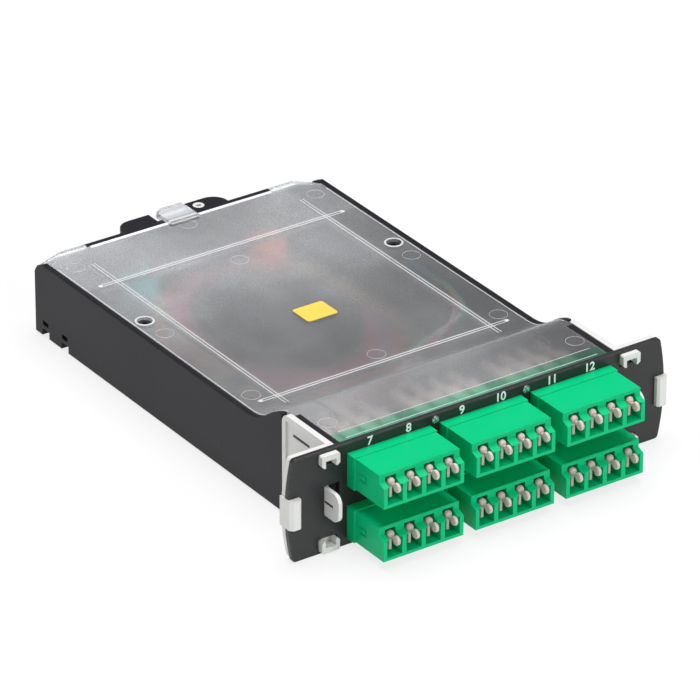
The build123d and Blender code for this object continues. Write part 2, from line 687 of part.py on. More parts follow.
def tray_wall_cuts():
    """Bottom notches with a small window above each, on both side walls."""
    cuts = []
    for setback in NOTCH_SETBACKS:
        middle = BODY_DEPTH - setback
        y0 = middle - NOTCH_LENGTH / 2
        notch = block(HALF_BODY - WALL - 0.2, HALF_BODY + 1.0, y0, y0 + NOTCH_LENGTH,
                      BODY_BOTTOM - 1.0, BODY_BOTTOM + NOTCH_HEIGHT)
        low = BODY_BOTTOM + NOTCH_HEIGHT + WINDOW_RISE
        y1 = middle - WINDOW_LENGTH / 2
        window = block(HALF_BODY - WINDOW_DEPTH, HALF_BODY + 1.0, y1, y1 + WINDOW_LENGTH,
                       low, low + WINDOW_HEIGHT)
        cuts += [notch, mirrored(notch), window, mirrored(window)]
    return cuts


def tray_ears():
    """The rounded finger flange behind the rear wall, notched for the lid's tongue."""
    top = BODY_TOP - 0.2
    outline = Pos(0, BODY_DEPTH) * RectangleRounded(EAR_SPAN, 2 * EAR_REACH, EAR_CORNER_RADIUS)
    notch = Pos(0, BODY_DEPTH + EAR_REACH) * Rectangle(EAR_NOTCH_WIDTH, 2 * EAR_REACH - 1.6)
    hole = Pos(EAR_HOLE_OFFSET, BODY_DEPTH + EAR_REACH / 2) * Circle(EAR_HOLE_RADIUS)
    rear_half = Pos(0, BODY_DEPTH + EAR_REACH / 2) * Rectangle(EAR_SPAN, EAR_REACH + 0.4)
    ears = top_extrude((outline & rear_half) - notch - hole, top - EAR_THICKNESS, top)
    gusset_points = [(BODY_DEPTH - 0.1, top - EAR_THICKNESS - 3.0), (BODY_DEPTH - 0.1, top - 1.0),
                     (BODY_DEPTH + EAR_REACH - 1.0, top - EAR_THICKNESS + 0.1)]
    gusset = side_extrude(make_face(Polyline(gusset_points, close=True).edges()),
                          EAR_SPAN / 2 - 3.4, EAR_SPAN / 2 - 1.8)
    return ears + both_sides(gusset)


def lid_underside():
    """Height of the lid's flat underside."""
    return BODY_TOP - LID_THICKNESS


def tray_posts():
    """Screw posts and the fingers that hold the coils down."""
    top = BODY_TOP - SCREW_RECESS_DEPTH - SCREW_BOSS_FLOOR - LID_CLEARANCE
    post = rod_z(SCREW_X, SCREW_Y, BODY_BOTTOM + 0.5, top, POST_RADIUS)
    posts = [post, mirrored(post)]
    for side in (-1, 1):
        for y in (SPOOL_Y - FINGER_REACH, SPOOL_Y + FINGER_REACH):
            x = side * (HALF_BODY - WALL - 2.0 - FINGER_POST)
            root = block(x - FINGER_POST / 2, x + FINGER_POST / 2, y - FINGER_WIDTH / 2,
                         y + FINGER_WIDTH / 2, BODY_BOTTOM + 0.5, FINGER_Z)
            inner = x - side * FINGER_LENGTH
            x0, x1 = sorted((x + side * FINGER_POST / 2, inner))
            arm = block(x0, x1, y - FINGER_WIDTH / 2, y + FINGER_WIDTH / 2, FINGER_Z,
                        FINGER_Z + FINGER_THICKNESS)
            posts.append(root + arm)
    return posts


def tray_holes():
    """Pilot holes, peg holes and the trunk adapter openings."""
    pilot = rod_z(SCREW_X, SCREW_Y, FLOOR_TOP + 1.0, BODY_TOP, SCREW_SHANK_RADIUS + SCREW_CLEARANCE)
    boss_seat = rod_z(SCREW_X, SCREW_Y, BODY_TOP - SCREW_RECESS_DEPTH - SCREW_BOSS_FLOOR - LID_CLEARANCE,
                      BODY_TOP, SCREW_BOSS_RADIUS + FIT_GAP)
    holes = [pilot, mirrored(pilot), boss_seat, mirrored(boss_seat)]
    for y in peg_places():
        outline = Pos(y, ARM_PEG_Z) * RegularPolygon(ARM_PEG_RADIUS + FIT_GAP, PEG_SIDES)
        peg = side_extrude(outline, NECK_X - NECK_WALL - 1.0, NECK_X + 1.0)
        holes += [peg, mirrored(peg)]
    for x in trunk_places():
        hole = Pos(x, TRUNK_Z) * Rectangle(TRUNK_WIDTH + 2 * FIT_GAP, TRUNK_HEIGHT + 2 * FIT_GAP)
        holes.append(front_extrude(hole, BODY_DEPTH - WALL - LEDGE_WIDTH - 1.0, BODY_DEPTH + 1.0))
    return holes


def peg_places():
    """Places of the bracket's pegs behind the faceplate."""
    return (FLANGE_REAR + 5.0, NECK_END - 5.5)


def trunk_places():
    """Trunk adapter centres in the rear wall."""
    return (-TRUNK_SPACING / 2, TRUNK_SPACING / 2)


# Lid
def lid_block(drop, widen):
    """The space under the lid's outside, lowered by drop and widened by widen."""
    bottom = BODY_TOP - 6.0
    half = LID_X + widen
    neck_half = LID_NECK_X + widen
    front = PLATE_THICKNESS + FIT_GAP - widen
    crest = REAR_CREST_WIDTH / 2 + LID_CLEARANCE
    rear_mid = BODY_DEPTH - WALL - LID_CLEARANCE
    wide = roof_prism(-half, half, RAMP_FRONT, rear_mid + widen, bottom, drop)
    neck = roof_prism(-neck_half, neck_half, front, RAMP_FRONT + 0.1, bottom, drop)
    corner = block(crest, half, rear_mid - 0.5, BODY_DEPTH + widen, bottom, BODY_TOP - drop)
    corner = corner - corner_cut_clear()
    solid = wide + neck + both_sides(corner)
    wedge = lid_corner_wedge(drop) & block(0, HALF_BODY + RUN_ON, BODY_DEPTH - 2 * LID_CORNER_CUT_Y,
                                           BODY_DEPTH + RUN_ON, 0, RAISED_TOP + RUN_ON)
    return solid - wedge - mirrored(wedge)


def corner_cut_clear():
    """Keeps the lid's rear corners above the sloped end of the tray wall."""
    low = BODY_TOP - CORNER_CUT_DROP + LID_CLEARANCE
    return block(0, HALF_BODY + 1.0, BODY_DEPTH - WALL - 0.2, BODY_DEPTH + 2.0, 0, low)


def make_lid():
    """The frosted lid: a sheet that follows the roof line, ribs, screw seats and tongue."""
    sheet = lid_block(0, 0) - lid_block(LID_THICKNESS, LID_X / 2)
    under = lid_underside()
    ribs = []
    front = LID_RIB_FRONT
    rear = LID_RIB_REAR
    half = LID_RIB_WIDTH / 2
    reach = LID_RIB_X + LID_RIB_OVERHANG
    for y in (front, rear):
        ribs.append(block(-reach, reach, y - half, y + half, under - LID_RIB_HEIGHT, under + 0.1))
    side = roof_prism(LID_RIB_X - half, LID_RIB_X + half, RAMP_FRONT - LID_RIB_START, rear + LID_RIB_RUN_ON,
                      BODY_TOP - 6.0, LID_THICKNESS - 0.1)
    side = side - roof_prism(LID_RIB_X - half, LID_RIB_X + half, 0, BODY_DEPTH, BODY_TOP - 9.0,
                             LID_THICKNESS + LID_RIB_HEIGHT)
    ribs += [side, mirrored(side)]
    boss_bottom = BODY_TOP - SCREW_RECESS_DEPTH - SCREW_BOSS_FLOOR
    boss = rod_z(SCREW_X, SCREW_Y, boss_bottom, BODY_TOP - 0.1, SCREW_BOSS_RADIUS)
    recess = rod_z(SCREW_X, SCREW_Y, BODY_TOP - SCREW_RECESS_DEPTH, BODY_TOP + 1.0, SCREW_RECESS_RADIUS)
    through = rod_z(SCREW_X, SCREW_Y, boss_bottom - 1.0, BODY_TOP, SCREW_SHANK_RADIUS + SCREW_CLEARANCE)
    lid = sheet + ribs + both_sides(boss) + lid_tongue()
    return lid - [recess, mirrored(recess), through, mirrored(through)]


def lid_tongue():
    """The snap tongue that reaches over the rear wall, with its arched lip."""
    half = TONGUE_WIDTH / 2
    start = BODY_DEPTH - WALL - LID_CLEARANCE
    end = BODY_DEPTH + 2.4
    bar = block(-half, half, start - 3.0, end, BODY_TOP + 0.05, BODY_TOP + 1.25)
    arch = Pos(0, BODY_TOP + TONGUE_LIP_HEIGHT - TONGUE_LIP_DEPTH / 2) * RectangleRounded(
        TONGUE_WIDTH, TONGUE_LIP_DEPTH, TONGUE_CORNER_RADIUS)
    lip = front_extrude(arch, end - 0.2, end - 0.2 + TONGUE_LIP_THICKNESS)
    pad = block(-half, half, start - 3.0, start - 0.6, BODY_TOP - 0.4, BODY_TOP + 0.3)
    return bar + lip + pad


def make_lid_screws():
    """Two screws sunk in the lid's round seats."""
    seat = BODY_TOP - SCREW_RECESS_DEPTH
    head = rod_z(SCREW_X, SCREW_Y, seat, seat + SCREW_HEAD_HEIGHT, SCREW_HEAD_RADIUS)
    drive = top_extrude(Pos(SCREW_X, SCREW_Y) * RegularPolygon(DRIVE_RADIUS, 6),
                        seat + SCREW_HEAD_HEIGHT - DRIVE_DEPTH, seat + SCREW_HEAD_HEIGHT + 1.0)
    shank = rod_z(SCREW_X, SCREW_Y, seat - SCREW_LENGTH, seat + 0.1, SCREW_SHANK_RADIUS)
    screw = head + shank - drive
    return Compound([screw, mirrored(screw)])


def make_label():
    """The plain yellow sticker in the middle of the lid."""
    outline = Pos(0, LABEL_Y) * RectangleRounded(LABEL_WIDTH, LABEL_DEPTH, LABEL_CORNER_RADIUS)
    return top_extrude(outline, BODY_TOP, BODY_TOP + LABEL_THICKNESS)


# Side brackets
def flange_outline():
    """The part of the faceplate's outline that a bracket backs."""
    keep = Pos(FLANGE_INNER_X + RUN_ON / 2, PLATE_HEIGHT / 2) * Rectangle(RUN_ON, PLATE_HEIGHT)
    return plate_outline(FLANGE_INSET) & keep


def arm_outline():
    """Side outline of the bracket's arm, in (behind, z)."""
    rear = NECK_END - FIT_GAP
    front = PLATE_THICKNESS
    points = [(front, ARM_BOTTOM), (front, ARM_TOP), (rear, ARM_TOP), (rear, ARM_BOTTOM)]
    face = make_face(Polyline(points, close=True).edges())
    corner = face.vertices().sort_by(Axis.X)[-2:].sort_by(Axis.Y)[-1]
    return fillet(corner, ARM_CORNER_RADIUS)


def snap_hook(z, up):
    """A U-shaped hook through the faceplate with a catch over its edge side."""
    outline = Pos(HOOK_X, z) * bevelled_rectangle(HOOK_WIDTH, HOOK_HEIGHT, HOOK_CORNER)
    shift = -up * HOOK_WALL
    inner = Pos(HOOK_X, z + shift) * Rectangle(HOOK_WIDTH - 2 * HOOK_WALL, HOOK_HEIGHT)
    shank = front_extrude(outline - inner, -HOOK_REACH, FLANGE_REAR)
    edge_z = z + up * (HOOK_HEIGHT / 2 - HOOK_WALL / 2 + HOOK_CATCH / 2)
    bar = Pos(HOOK_X, edge_z) * bevelled_rectangle(HOOK_WIDTH, HOOK_WALL + HOOK_CATCH, HOOK_CORNER / 2)
    return shank + front_extrude(bar, -HOOK_REACH, 0)


def edge_hook():
    """The hook that reaches round the end of the faceplate."""
    x1 = EDGE_X
    points = [
        (x1 - EDGE_HOOK_LIP, 0), (x1 - EDGE_HOOK_LIP, -EDGE_HOOK_REACH + 0.6),
        (x1 - EDGE_HOOK_LIP + 0.6, -EDGE_HOOK_REACH), (x1 - 1.0, -EDGE_HOOK_REACH),
        (x1, -EDGE_HOOK_REACH + 1.0), (x1, FLANGE_REAR), (x1 - EDGE_HOOK_WEB, FLANGE_REAR),
        (x1 - EDGE_HOOK_WEB, 0),
    ]
    return top_extrude(make_face(Polyline(points, close=True).edges()), EDGE_HOOK_BOTTOM, EDGE_HOOK_TOP)


def make_bracket():
    """The right-hand bracket: flange behind the plate, hooks, arm and lever lugs."""
    flange = front_extrude(flange_outline(), FLANGE_FRONT, FLANGE_REAR)
    window_in = LEVER_SLOT_OUTER - LEVER_SLOT_WIDTH
    window = block(window_in, LEVER_SLOT_OUTER + 0.3, -1.0, FLANGE_REAR + 1.0, LEVER_WINDOW_BOTTOM,
                   LEVER_WINDOW_TOP)
    lid_clear = block(0, NECK_X + FIT_GAP, FLANGE_FRONT - 0.1, FLANGE_REAR + 1.0, -1.0, PLATE_HEIGHT + 1.0)
    outer_x = HALF_BODY
    arm = side_extrude(arm_outline(), outer_x - ARM_THICKNESS, outer_x)
    inner_y0 = FLANGE_REAR + ARM_RIM
    inner_y1 = NECK_END - FIT_GAP - ARM_RIM
    recess = block(outer_x - ARM_RECESS, outer_x + 1.0, inner_y0 - 4.0, inner_y1, ARM_BOTTOM + ARM_RIM,
                   ARM_TOP - ARM_RIM)
    slit = block(outer_x - ARM_RECESS - ARM_SLIT_DEPTH, outer_x, ARM_SLIT_FRONT,
                 ARM_SLIT_FRONT + ARM_SLIT_LENGTH, ARM_SLIT_Z, ARM_SLIT_Z + ARM_SLIT_HEIGHT)
    arm = arm - recess - slit
    bracket = (flange - lid_clear) + arm + edge_hook() - window
    for z, up in zip(HOOK_CENTRES, (-1, 1)):
        bracket = bracket + snap_hook(z, up)
    for y in peg_places():
        peg = Pos(y, ARM_PEG_Z) * RegularPolygon(ARM_PEG_RADIUS, PEG_SIDES)
        bracket = bracket + side_extrude(peg, outer_x - ARM_THICKNESS - ARM_PEG_LENGTH,
                                         outer_x - ARM_THICKNESS + 0.1)
    lug_gap = LEVER_SIDE_GAP + LEVER_HEIGHT / 2
    pin_hole = LEVER_PIN_RADIUS + LEVER_PIN_CLEARANCE
    for up in (-1, 1):
        z0, z1 = sorted((LEVER_Z + up * lug_gap, LEVER_Z + up * (lug_gap + LUG_THICKNESS)))
        lug = rod_z(LEVER_X, LEVER_PIVOT_BEHIND, z0, z1, LUG_RADIUS)
        root = block(outer_x - ARM_RECESS - 0.2, LEVER_X, LEVER_PIVOT_BEHIND - LUG_RADIUS,
                     LEVER_PIVOT_BEHIND + LUG_RADIUS, z0, z1)
        hole = rod_z(LEVER_X, LEVER_PIVOT_BEHIND, z0 - 1.0, z1 + 1.0, pin_hole)
        bracket = bracket + (lug + root - hole)
    return bracket


# Release levers
def lever_outline():
    """Side outline of the lever from its pivot to the thumb tab, in (behind, z)."""
    low = LEVER_Z - LEVER_HEIGHT / 2
    high = LEVER_Z + LEVER_HEIGHT / 2
    tip = -LEVER_TAB_REACH
    points = [(LEVER_PIVOT_BEHIND, low), (tip, low), (tip, high), (LEVER_PIVOT_BEHIND, high)]
    face = make_face(Polyline(points, close=True).edges())
    front = face.vertices().sort_by(Axis.X)[:2]
    return fillet(front, LEVER_TAB_RADIUS)


def make_lever():
    """The right-hand release lever: hub, pins, slit thumb tab and latch tooth."""
    half = LEVER_THICKNESS / 2
    blade = side_extrude(lever_outline(), LEVER_X - half, LEVER_X + half)
    slit_end = -(LEVER_TAB_REACH - LEVER_TAB_RADIUS)
    slit = block(LEVER_X - half - 1.0, LEVER_X + half + 1.0, slit_end, slit_end + LEVER_SLIT_LENGTH,
                 LEVER_Z - LEVER_SLIT_HEIGHT / 2, LEVER_Z + LEVER_SLIT_HEIGHT / 2)
    low = LEVER_Z - LEVER_HEIGHT / 2
    high = LEVER_Z + LEVER_HEIGHT / 2
    hub = rod_z(LEVER_X, LEVER_PIVOT_BEHIND, low, high, LEVER_HUB_RADIUS)
    pin = rod_z(LEVER_X, LEVER_PIVOT_BEHIND, low - LEVER_PIN_LENGTH, high + LEVER_PIN_LENGTH,
                LEVER_PIN_RADIUS)
    x1 = LEVER_X + half
    tooth_points = [
        (x1 - 0.1, TOOTH_FRONT), (x1 + LEVER_TOOTH_STAND, TOOTH_FRONT),
        (x1 + LEVER_TOOTH_STAND, TOOTH_FRONT + LEVER_TOOTH_LENGTH * 0.3),
        (x1 - 0.1, TOOTH_FRONT + LEVER_TOOTH_LENGTH),
    ]
    tooth = top_extrude(make_face(Polyline(tooth_points, close=True).edges()),
                        LEVER_Z - LEVER_TOOTH_HEIGHT / 2, LEVER_Z + LEVER_TOOTH_HEIGHT / 2)
    return blade - slit + hub + pin + tooth


# Trunk adapters
def make_trunk_adapter(x):
    """A trunk adapter set in the rear wall, open to the rear."""
    outline = Pos(x, TRUNK_Z) * Rectangle(TRUNK_WIDTH, TRUNK_HEIGHT)
    front = BODY_DEPTH - TRUNK_INSIDE
    rear = BODY_DEPTH + TRUNK_OUTSIDE
    flange_face = bevelled_rectangle(TRUNK_FLANGE_WIDTH, TRUNK_FLANGE_HEIGHT, TRUNK_FLANGE_CORNER)
    flange = Pos(x, TRUNK_Z) * flange_face
    body = front_extrude(outline, front, rear)
    body = body + front_extrude(flange, BODY_DEPTH, BODY_DEPTH + TRUNK_FLANGE_THICKNESS)
    hollow = Pos(x, TRUNK_Z) * Rectangle(TRUNK_WIDTH - 2 * TRUNK_WALL, TRUNK_HEIGHT - 2 * TRUNK_WALL)
    key_z = TRUNK_Z + TRUNK_HEIGHT / 2 - TRUNK_WALL
    key = Pos(x, key_z) * Rectangle(TRUNK_KEY_WIDTH, 2 * TRUNK_KEY_DEPTH)
    middle = BODY_DEPTH - TRUNK_PARTITION / 2
    cuts = [
        front_extrude(hollow + key, middle + TRUNK_PARTITION / 2, rear + 1.0),
        front_extrude(hollow, front - 1.0, middle - TRUNK_PARTITION / 2),
    ]
    return body - cuts


def make_trunk_plugs():
    """The trunk connectors plugged in from the inside."""
    plugs = []
    for x in trunk_places():
        gap = TRUNK_WALL + TRUNK_PLUG_CLEARANCE
        width = TRUNK_WIDTH - 2 * gap
        height = TRUNK_HEIGHT - 2 * gap
        tip = BODY_DEPTH - TRUNK_PARTITION - TRUNK_PLUG_CLEARANCE
        front = BODY_DEPTH - TRUNK_INSIDE - TRUNK_PLUG_OUTSIDE
        body = front_extrude(Pos(x, TRUNK_Z) * Rectangle(width, height), front, tip)
        wide = Plane.XZ.offset(-at(front)) * Pos(x, TRUNK_Z) * Rectangle(width - 1.6, height - 1.6)
        slim = Plane.XZ.offset(-at(front - TRUNK_BOOT_LENGTH)) * Pos(x, TRUNK_Z) * Rectangle(
            TRUNK_BOOT_TIP, TRUNK_BOOT_TIP)
        plugs.append(body + loft([wide, slim]))
    return Compound(plugs)


# Fibre leads
def straight_lead(start, end):
    """A thin square bar between two points."""
    along = end - start
    plane = Plane(origin=start, z_dir=along.normalized())
    return extrude(plane * Rectangle(LEAD_THICKNESS, LEAD_THICKNESS), along.length)


def lead_fan(column_x, row_z, gather):
    """The four leads of one adapter, from the boots to a gathering point."""
    axis_z = row_z + ADAPTER_FLOOR + FERRULE_AXIS_RISE
    leads = []
    for index, x in enumerate(PORT_OFFSETS):
        start = Vector(column_x + x, at(LEAD_START), axis_z)
        lane = (index - (PORTS_PER_ADAPTER - 1) / 2) * LEAD_PITCH
        leads.append(straight_lead(start, gather + Vector(lane, 0, 0)))
    return leads


def bundle(gather, lane_x, end_x):
    """A bundle from a gathering point, along a lane above the coils, to a trunk connector."""
    points = [
        gather + Vector(0, LEAD_PITCH, 0),
        Vector((gather.X + 3 * lane_x) / 4, at(GATHER_Y + BUNDLE_SETTLE), BUNDLE_Z),
        Vector(lane_x, at(SPOOL_Y - COIL_STRAIGHT), BUNDLE_Z),
        Vector(lane_x, at(SPOOL_Y + COIL_STRAIGHT / 2), BUNDLE_Z),
        Vector((end_x + lane_x) / 2, at(TRUNK_TIP - BUNDLE_TURN), (BUNDLE_Z + TRUNK_Z) / 2),
        Vector(end_x, at(TRUNK_TIP - LEAD_GAP), TRUNK_Z),
    ]
    path = Spline(points)
    section = Plane(origin=path @ 0, z_dir=path % 0) * RegularPolygon(BUNDLE_RADIUS, BUNDLE_SIDES)
    return sweep(section, path=path)


def make_leads(middle_row_z):
    """The right-hand leads: both rows of the outer adapter and one row of the middle one."""
    column_x = COLUMN_CENTRES[-1]
    outer = Vector(column_x - GATHER_INSET, at(GATHER_Y), BUNDLE_Z + GATHER_RISE)
    stack = Vector(0, 0, LEAD_PITCH / 2)
    middle = Vector(MIDDLE_GATHER_X, at(GATHER_Y), BUNDLE_Z + GATHER_RISE)
    leads = lead_fan(column_x, ROW_BOTTOMS[0], outer - stack)
    leads += lead_fan(column_x, ROW_BOTTOMS[1], outer + stack)
    leads += lead_fan(0, middle_row_z, middle)
    trunk_x = trunk_places()[-1]
    lane_x = COIL_REACH - BUNDLE_RADIUS - BUNDLE_LANE_GAP / 2
    apart = 2 * BUNDLE_RADIUS + BUNDLE_END_GAP
    leads.append(bundle(outer, lane_x, trunk_x + apart / 2))
    leads.append(bundle(middle, lane_x - 2 * BUNDLE_RADIUS - BUNDLE_LANE_GAP, trunk_x - apart / 2))
    return Compound(leads)


# Fibre store
def make_spool():
    """The spool that the fibre coils run round: a flanged drum with spokes."""
    z0 = FLOOR_TOP
    drum_outline = coil_outline(SPOOL_RADIUS) - coil_outline(SPOOL_RADIUS - SPOOL_WALL)
    drum = top_extrude(drum_outline, z0, z0 + SPOOL_HEIGHT)
    flange_outline_2d = coil_outline(SPOOL_RADIUS + SPOOL_FLANGE) - coil_outline(SPOOL_RADIUS - SPOOL_WALL)
    flange = top_extrude(flange_outline_2d, z0 + SPOOL_HEIGHT - SPOOL_FLANGE_THICKNESS, z0 + SPOOL_HEIGHT)
    reach = 2 * SPOOL_RADIUS - SPOOL_WALL
    spokes = Pos(0, SPOOL_Y) * Rectangle(reach, SPOOL_SPOKE_WIDTH)
    spokes = spokes + Pos(0, SPOOL_Y) * Rectangle(SPOOL_SPOKE_WIDTH, reach + COIL_STRAIGHT)
    web = top_extrude(spokes, z0, z0 + SPOOL_HEIGHT / 2)
    hub = rod_z(0, SPOOL_Y, z0, z0 + SPOOL_HEIGHT * 0.8, SPOOL_HUB_RADIUS)
    return drum + flange + web + hub


def coil_outline(radius):
    """A race-track outline round the spool's middle, in (x, behind)."""
    return Pos(0, SPOOL_Y) * Rot(0, 0, 90) * SlotCenterToCenter(COIL_STRAIGHT, 2 * radius)


def make_coil(index):
    """One closed bundle of fibre loops, the inner ones first."""
    inner = SPOOL_RADIUS + COIL_GAP + index * (COIL_WIDTH + COIL_GAP)
    ring = coil_outline(inner + COIL_WIDTH) - coil_outline(inner)
    z0 = FLOOR_TOP + COIL_GAP
    return top_extrude(ring, z0, z0 + COIL_HEIGHT)


def write(shape, name):
    """Write one node as a STEP file."""
    export_step(shape, f"parts/{name}.step")


def main():
    """Build and write every node."""
    os.makedirs("parts", exist_ok=True)
    write(make_tray(), "tray")
    write(make_lid(), "lid")
    write(make_lid_screws(), "lid_screws")
    write(make_label(), "lid_label")
    write(make_faceplate(), "faceplate")
    write(make_studs(), "faceplate_studs")
    bracket = make_bracket()
    write(bracket, "bracket_right")
    write(mirrored(bracket), "bracket_left")
    lever = make_lever()
    write(lever, "release_lever_right")
    write(mirrored(lever), "release_lever_left")
    adapter = make_adapter()
    for row, z in zip(("lower", "upper"), ROW_BOTTOMS):
        for column, x in zip(("left", "middle", "right"), COLUMN_CENTRES):
            write(Pos(x, 0, z) * adapter, f"adapter_{row}_{column}")
            write(make_plugs(x, z), f"dust_plugs_{row}_{column}")
        write(make_inner_plugs(z), f"inner_plugs_{row}")
    for side, x in zip(("left", "right"), trunk_places()):
        write(make_trunk_adapter(x), f"trunk_adapter_{side}")
    write(make_trunk_plugs(), "trunk_plugs")
    write(make_leads(ROW_BOTTOMS[1]), "fibre_leads_right")
    write(mirrored(make_leads(ROW_BOTTOMS[0])), "fibre_leads_left")
    write(make_spool(), "fibre_spool")
    for index, colour in enumerate(("green", "red", "blue", "orange")):
        write(make_coil(index), f"fibre_coil_{colour}")


main()
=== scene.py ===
import logging
import math
import random
from dataclasses import dataclass, field
from enum import Enum
from typing import Iterable, Sequence

import bmesh
import bpy
from bmesh.types import BMesh, BMVert
from bpy.types import Curve, Material, Node, NodeSocket, NodeTree
from mathutils import Matrix, Vector


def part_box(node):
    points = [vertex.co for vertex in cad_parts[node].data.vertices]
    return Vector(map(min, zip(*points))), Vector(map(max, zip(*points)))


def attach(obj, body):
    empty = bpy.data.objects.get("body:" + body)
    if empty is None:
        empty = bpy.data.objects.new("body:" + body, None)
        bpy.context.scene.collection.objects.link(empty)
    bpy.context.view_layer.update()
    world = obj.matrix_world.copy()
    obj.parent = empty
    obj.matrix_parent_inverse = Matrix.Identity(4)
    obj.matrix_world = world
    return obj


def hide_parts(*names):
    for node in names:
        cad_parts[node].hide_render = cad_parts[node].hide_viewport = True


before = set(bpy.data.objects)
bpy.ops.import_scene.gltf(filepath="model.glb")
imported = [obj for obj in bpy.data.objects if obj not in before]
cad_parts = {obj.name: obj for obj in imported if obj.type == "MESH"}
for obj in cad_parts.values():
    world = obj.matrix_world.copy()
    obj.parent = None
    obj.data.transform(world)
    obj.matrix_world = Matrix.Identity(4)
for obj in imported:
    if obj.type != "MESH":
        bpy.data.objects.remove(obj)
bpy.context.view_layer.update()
LOG = logging.getLogger("patch_module")
MM = 0.001
FACE_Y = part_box("faceplate")[0].y / MM
HOUSING = "housing"
UPRIGHT = Matrix.Rotation(math.radians(90), 4, "X")
SINK = 0.05
MERGE_DISTANCE = 1e-7
BEVEL_SEGMENTS = 2
MIX_A, MIX_B, MIX_RESULT = 6, 7, 2


def place(x: float, behind: float, z: float) -> Vector:
    """Turn a place given in millimetres behind the faceplate's front into metres.

    Args:
        x: Millimetres to the right of the middle.
        behind: Millimetres behind the front of the faceplate.
        z: Millimetres above the lowest point.

    Returns:
        The point in the frame of the part.
    """
    return Vector((x, FACE_Y + behind, z)) * MM


class Socket(Enum):
    """Kinds of socket that a shader group may have."""

    VALUE = "NodeSocketFloat"
    VECTOR = "NodeSocketVector"


class Side(Enum):
    """The two sides of the module, with the sign of x."""

    LEFT = -1
    RIGHT = 1

    @property
    def label(self) -> str:
        """The side's word in the names of pieces."""
        return self.name.lower()


class Row(Enum):
    """The two rows of ports."""

    LOWER = "lower"
    UPPER = "upper"


class Column(Enum):
    """The three columns of adapters."""

    LEFT = "left"
    MIDDLE = "middle"
    RIGHT = "right"


@dataclass
class NodeBoard:
    """A node tree with short calls to place and join nodes."""

    tree: NodeTree

    @classmethod
    def cleared(cls, owner: bpy.types.ID) -> "NodeBoard":
        """Start the nodes of a material or a world afresh.

        Args:
            owner: The material or world.

        Returns:
            Its empty board.
        """
        owner.use_nodes = True
        owner.node_tree.nodes.clear()
        return cls(owner.node_tree)

    def add(self, kind: str, **settings: object) -> Node:
        """Place a node.

        Args:
            kind: Blender's name of the node type.
            settings: Properties to set on it.

        Returns:
            The new node.
        """
        node = self.tree.nodes.new(kind)
        for name, value in settings.items():
            setattr(node, name, value)
        return node

    def join(self, source: NodeSocket, target: NodeSocket) -> None:
        """Link an output to an input."""
        self.tree.links.new(source, target)

    def feed(self, target: NodeSocket, value: object) -> None:
        """Link an output to an input, or set the input to a constant.

        Args:
            target: The input.
            value: An output, a number or a colour of three numbers.
        """
        if isinstance(value, NodeSocket):
            self.join(value, target)
        elif isinstance(value, tuple):
            target.default_value = (*value, 1.0)
        else:
            target.default_value = value

    def here(self) -> NodeSocket:
        """The piece's own coordinates."""
        return self.add("ShaderNodeTexCoord").outputs["Object"]

    def split(self, vector: NodeSocket) -> tuple:
        """Take a vector apart.

        Args:
            vector: The vector.

        Returns:
            Its X, Y and Z.
        """
        node = self.add("ShaderNodeSeparateXYZ")
        self.join(vector, node.inputs[0])
        return tuple(node.outputs)

    def math(self, operation: str, a: object, b: object = None, clamp: bool = False) -> NodeSocket:
        """Place a math node.

        Args:
            operation: The operation's name.
            a: First value, a number or an output.
            b: Second value, a number or an output.
            clamp: Whether the result is kept from 0 to 1.

        Returns:
            The node's output.
        """
        node = self.add("ShaderNodeMath", operation=operation, use_clamp=clamp)
        self.feed(node.inputs[0], a)
        if b is not None:
            self.feed(node.inputs[1], b)
        return node.outputs[0]

    def noise(self, vector: NodeSocket, scale: object, detail: float,
              rough: float) -> NodeSocket:
        """Place a noise texture.

        Args:
            vector: The coordinates.
            scale: Cells per metre, a number or an output.
            detail: Octaves.
            rough: How strong the finer octaves are.

        Returns:
            The noise value, about 0.5 on average.
        """
        node = self.add("ShaderNodeTexNoise")
        for name, value in (("Vector", vector), ("Scale", scale), ("Detail", detail), ("Roughness", rough)):
            self.feed(node.inputs[name], value)
        return node.outputs["Fac"]

    def mix(self, factor: object, a: object, b: object) -> NodeSocket:
        """Mix two colours.

        Args:
            factor: Share of the second colour, a number or an output.
            a: First colour, three numbers or an output.
            b: Second colour, three numbers or an output.

        Returns:
            The mixed colour.
        """
        node = self.add("ShaderNodeMix", data_type="RGBA")
        for key, value in (("Factor", factor), (MIX_A, a), (MIX_B, b)):
            self.feed(node.inputs[key], value)
        return node.outputs[MIX_RESULT]

    def ramp(self, value: NodeSocket, start: float, end: float) -> NodeSocket:
        """Rise softly from nought at one place to one at another.

        Args:
            value: The coordinate.
            start: Where the rise starts.
            end: Where it ends.

        Returns:
            The share, from 0 to 1.
        """
        node = self.add("ShaderNodeMapRange", interpolation_type="SMOOTHSTEP")
        for name, setting in (("Value", value), ("From Min", start), ("From Max", end)):
            self.feed(node.inputs[name], setting)
        return node.outputs["Result"]

    def blend(self, factor: NodeSocket, first: Node,
              second: Node) -> NodeSocket:
        """Mix two shaders.

        Args:
            factor: Share of the second one.
            first: The first shader.
            second: The second shader.

        Returns:
            The mixed shader.
        """
        node = self.add("ShaderNodeMixShader")
        for index, source in enumerate((factor, first.outputs[0], second.outputs[0])):
            self.join(source, node.inputs[index])
        return node.outputs[0]


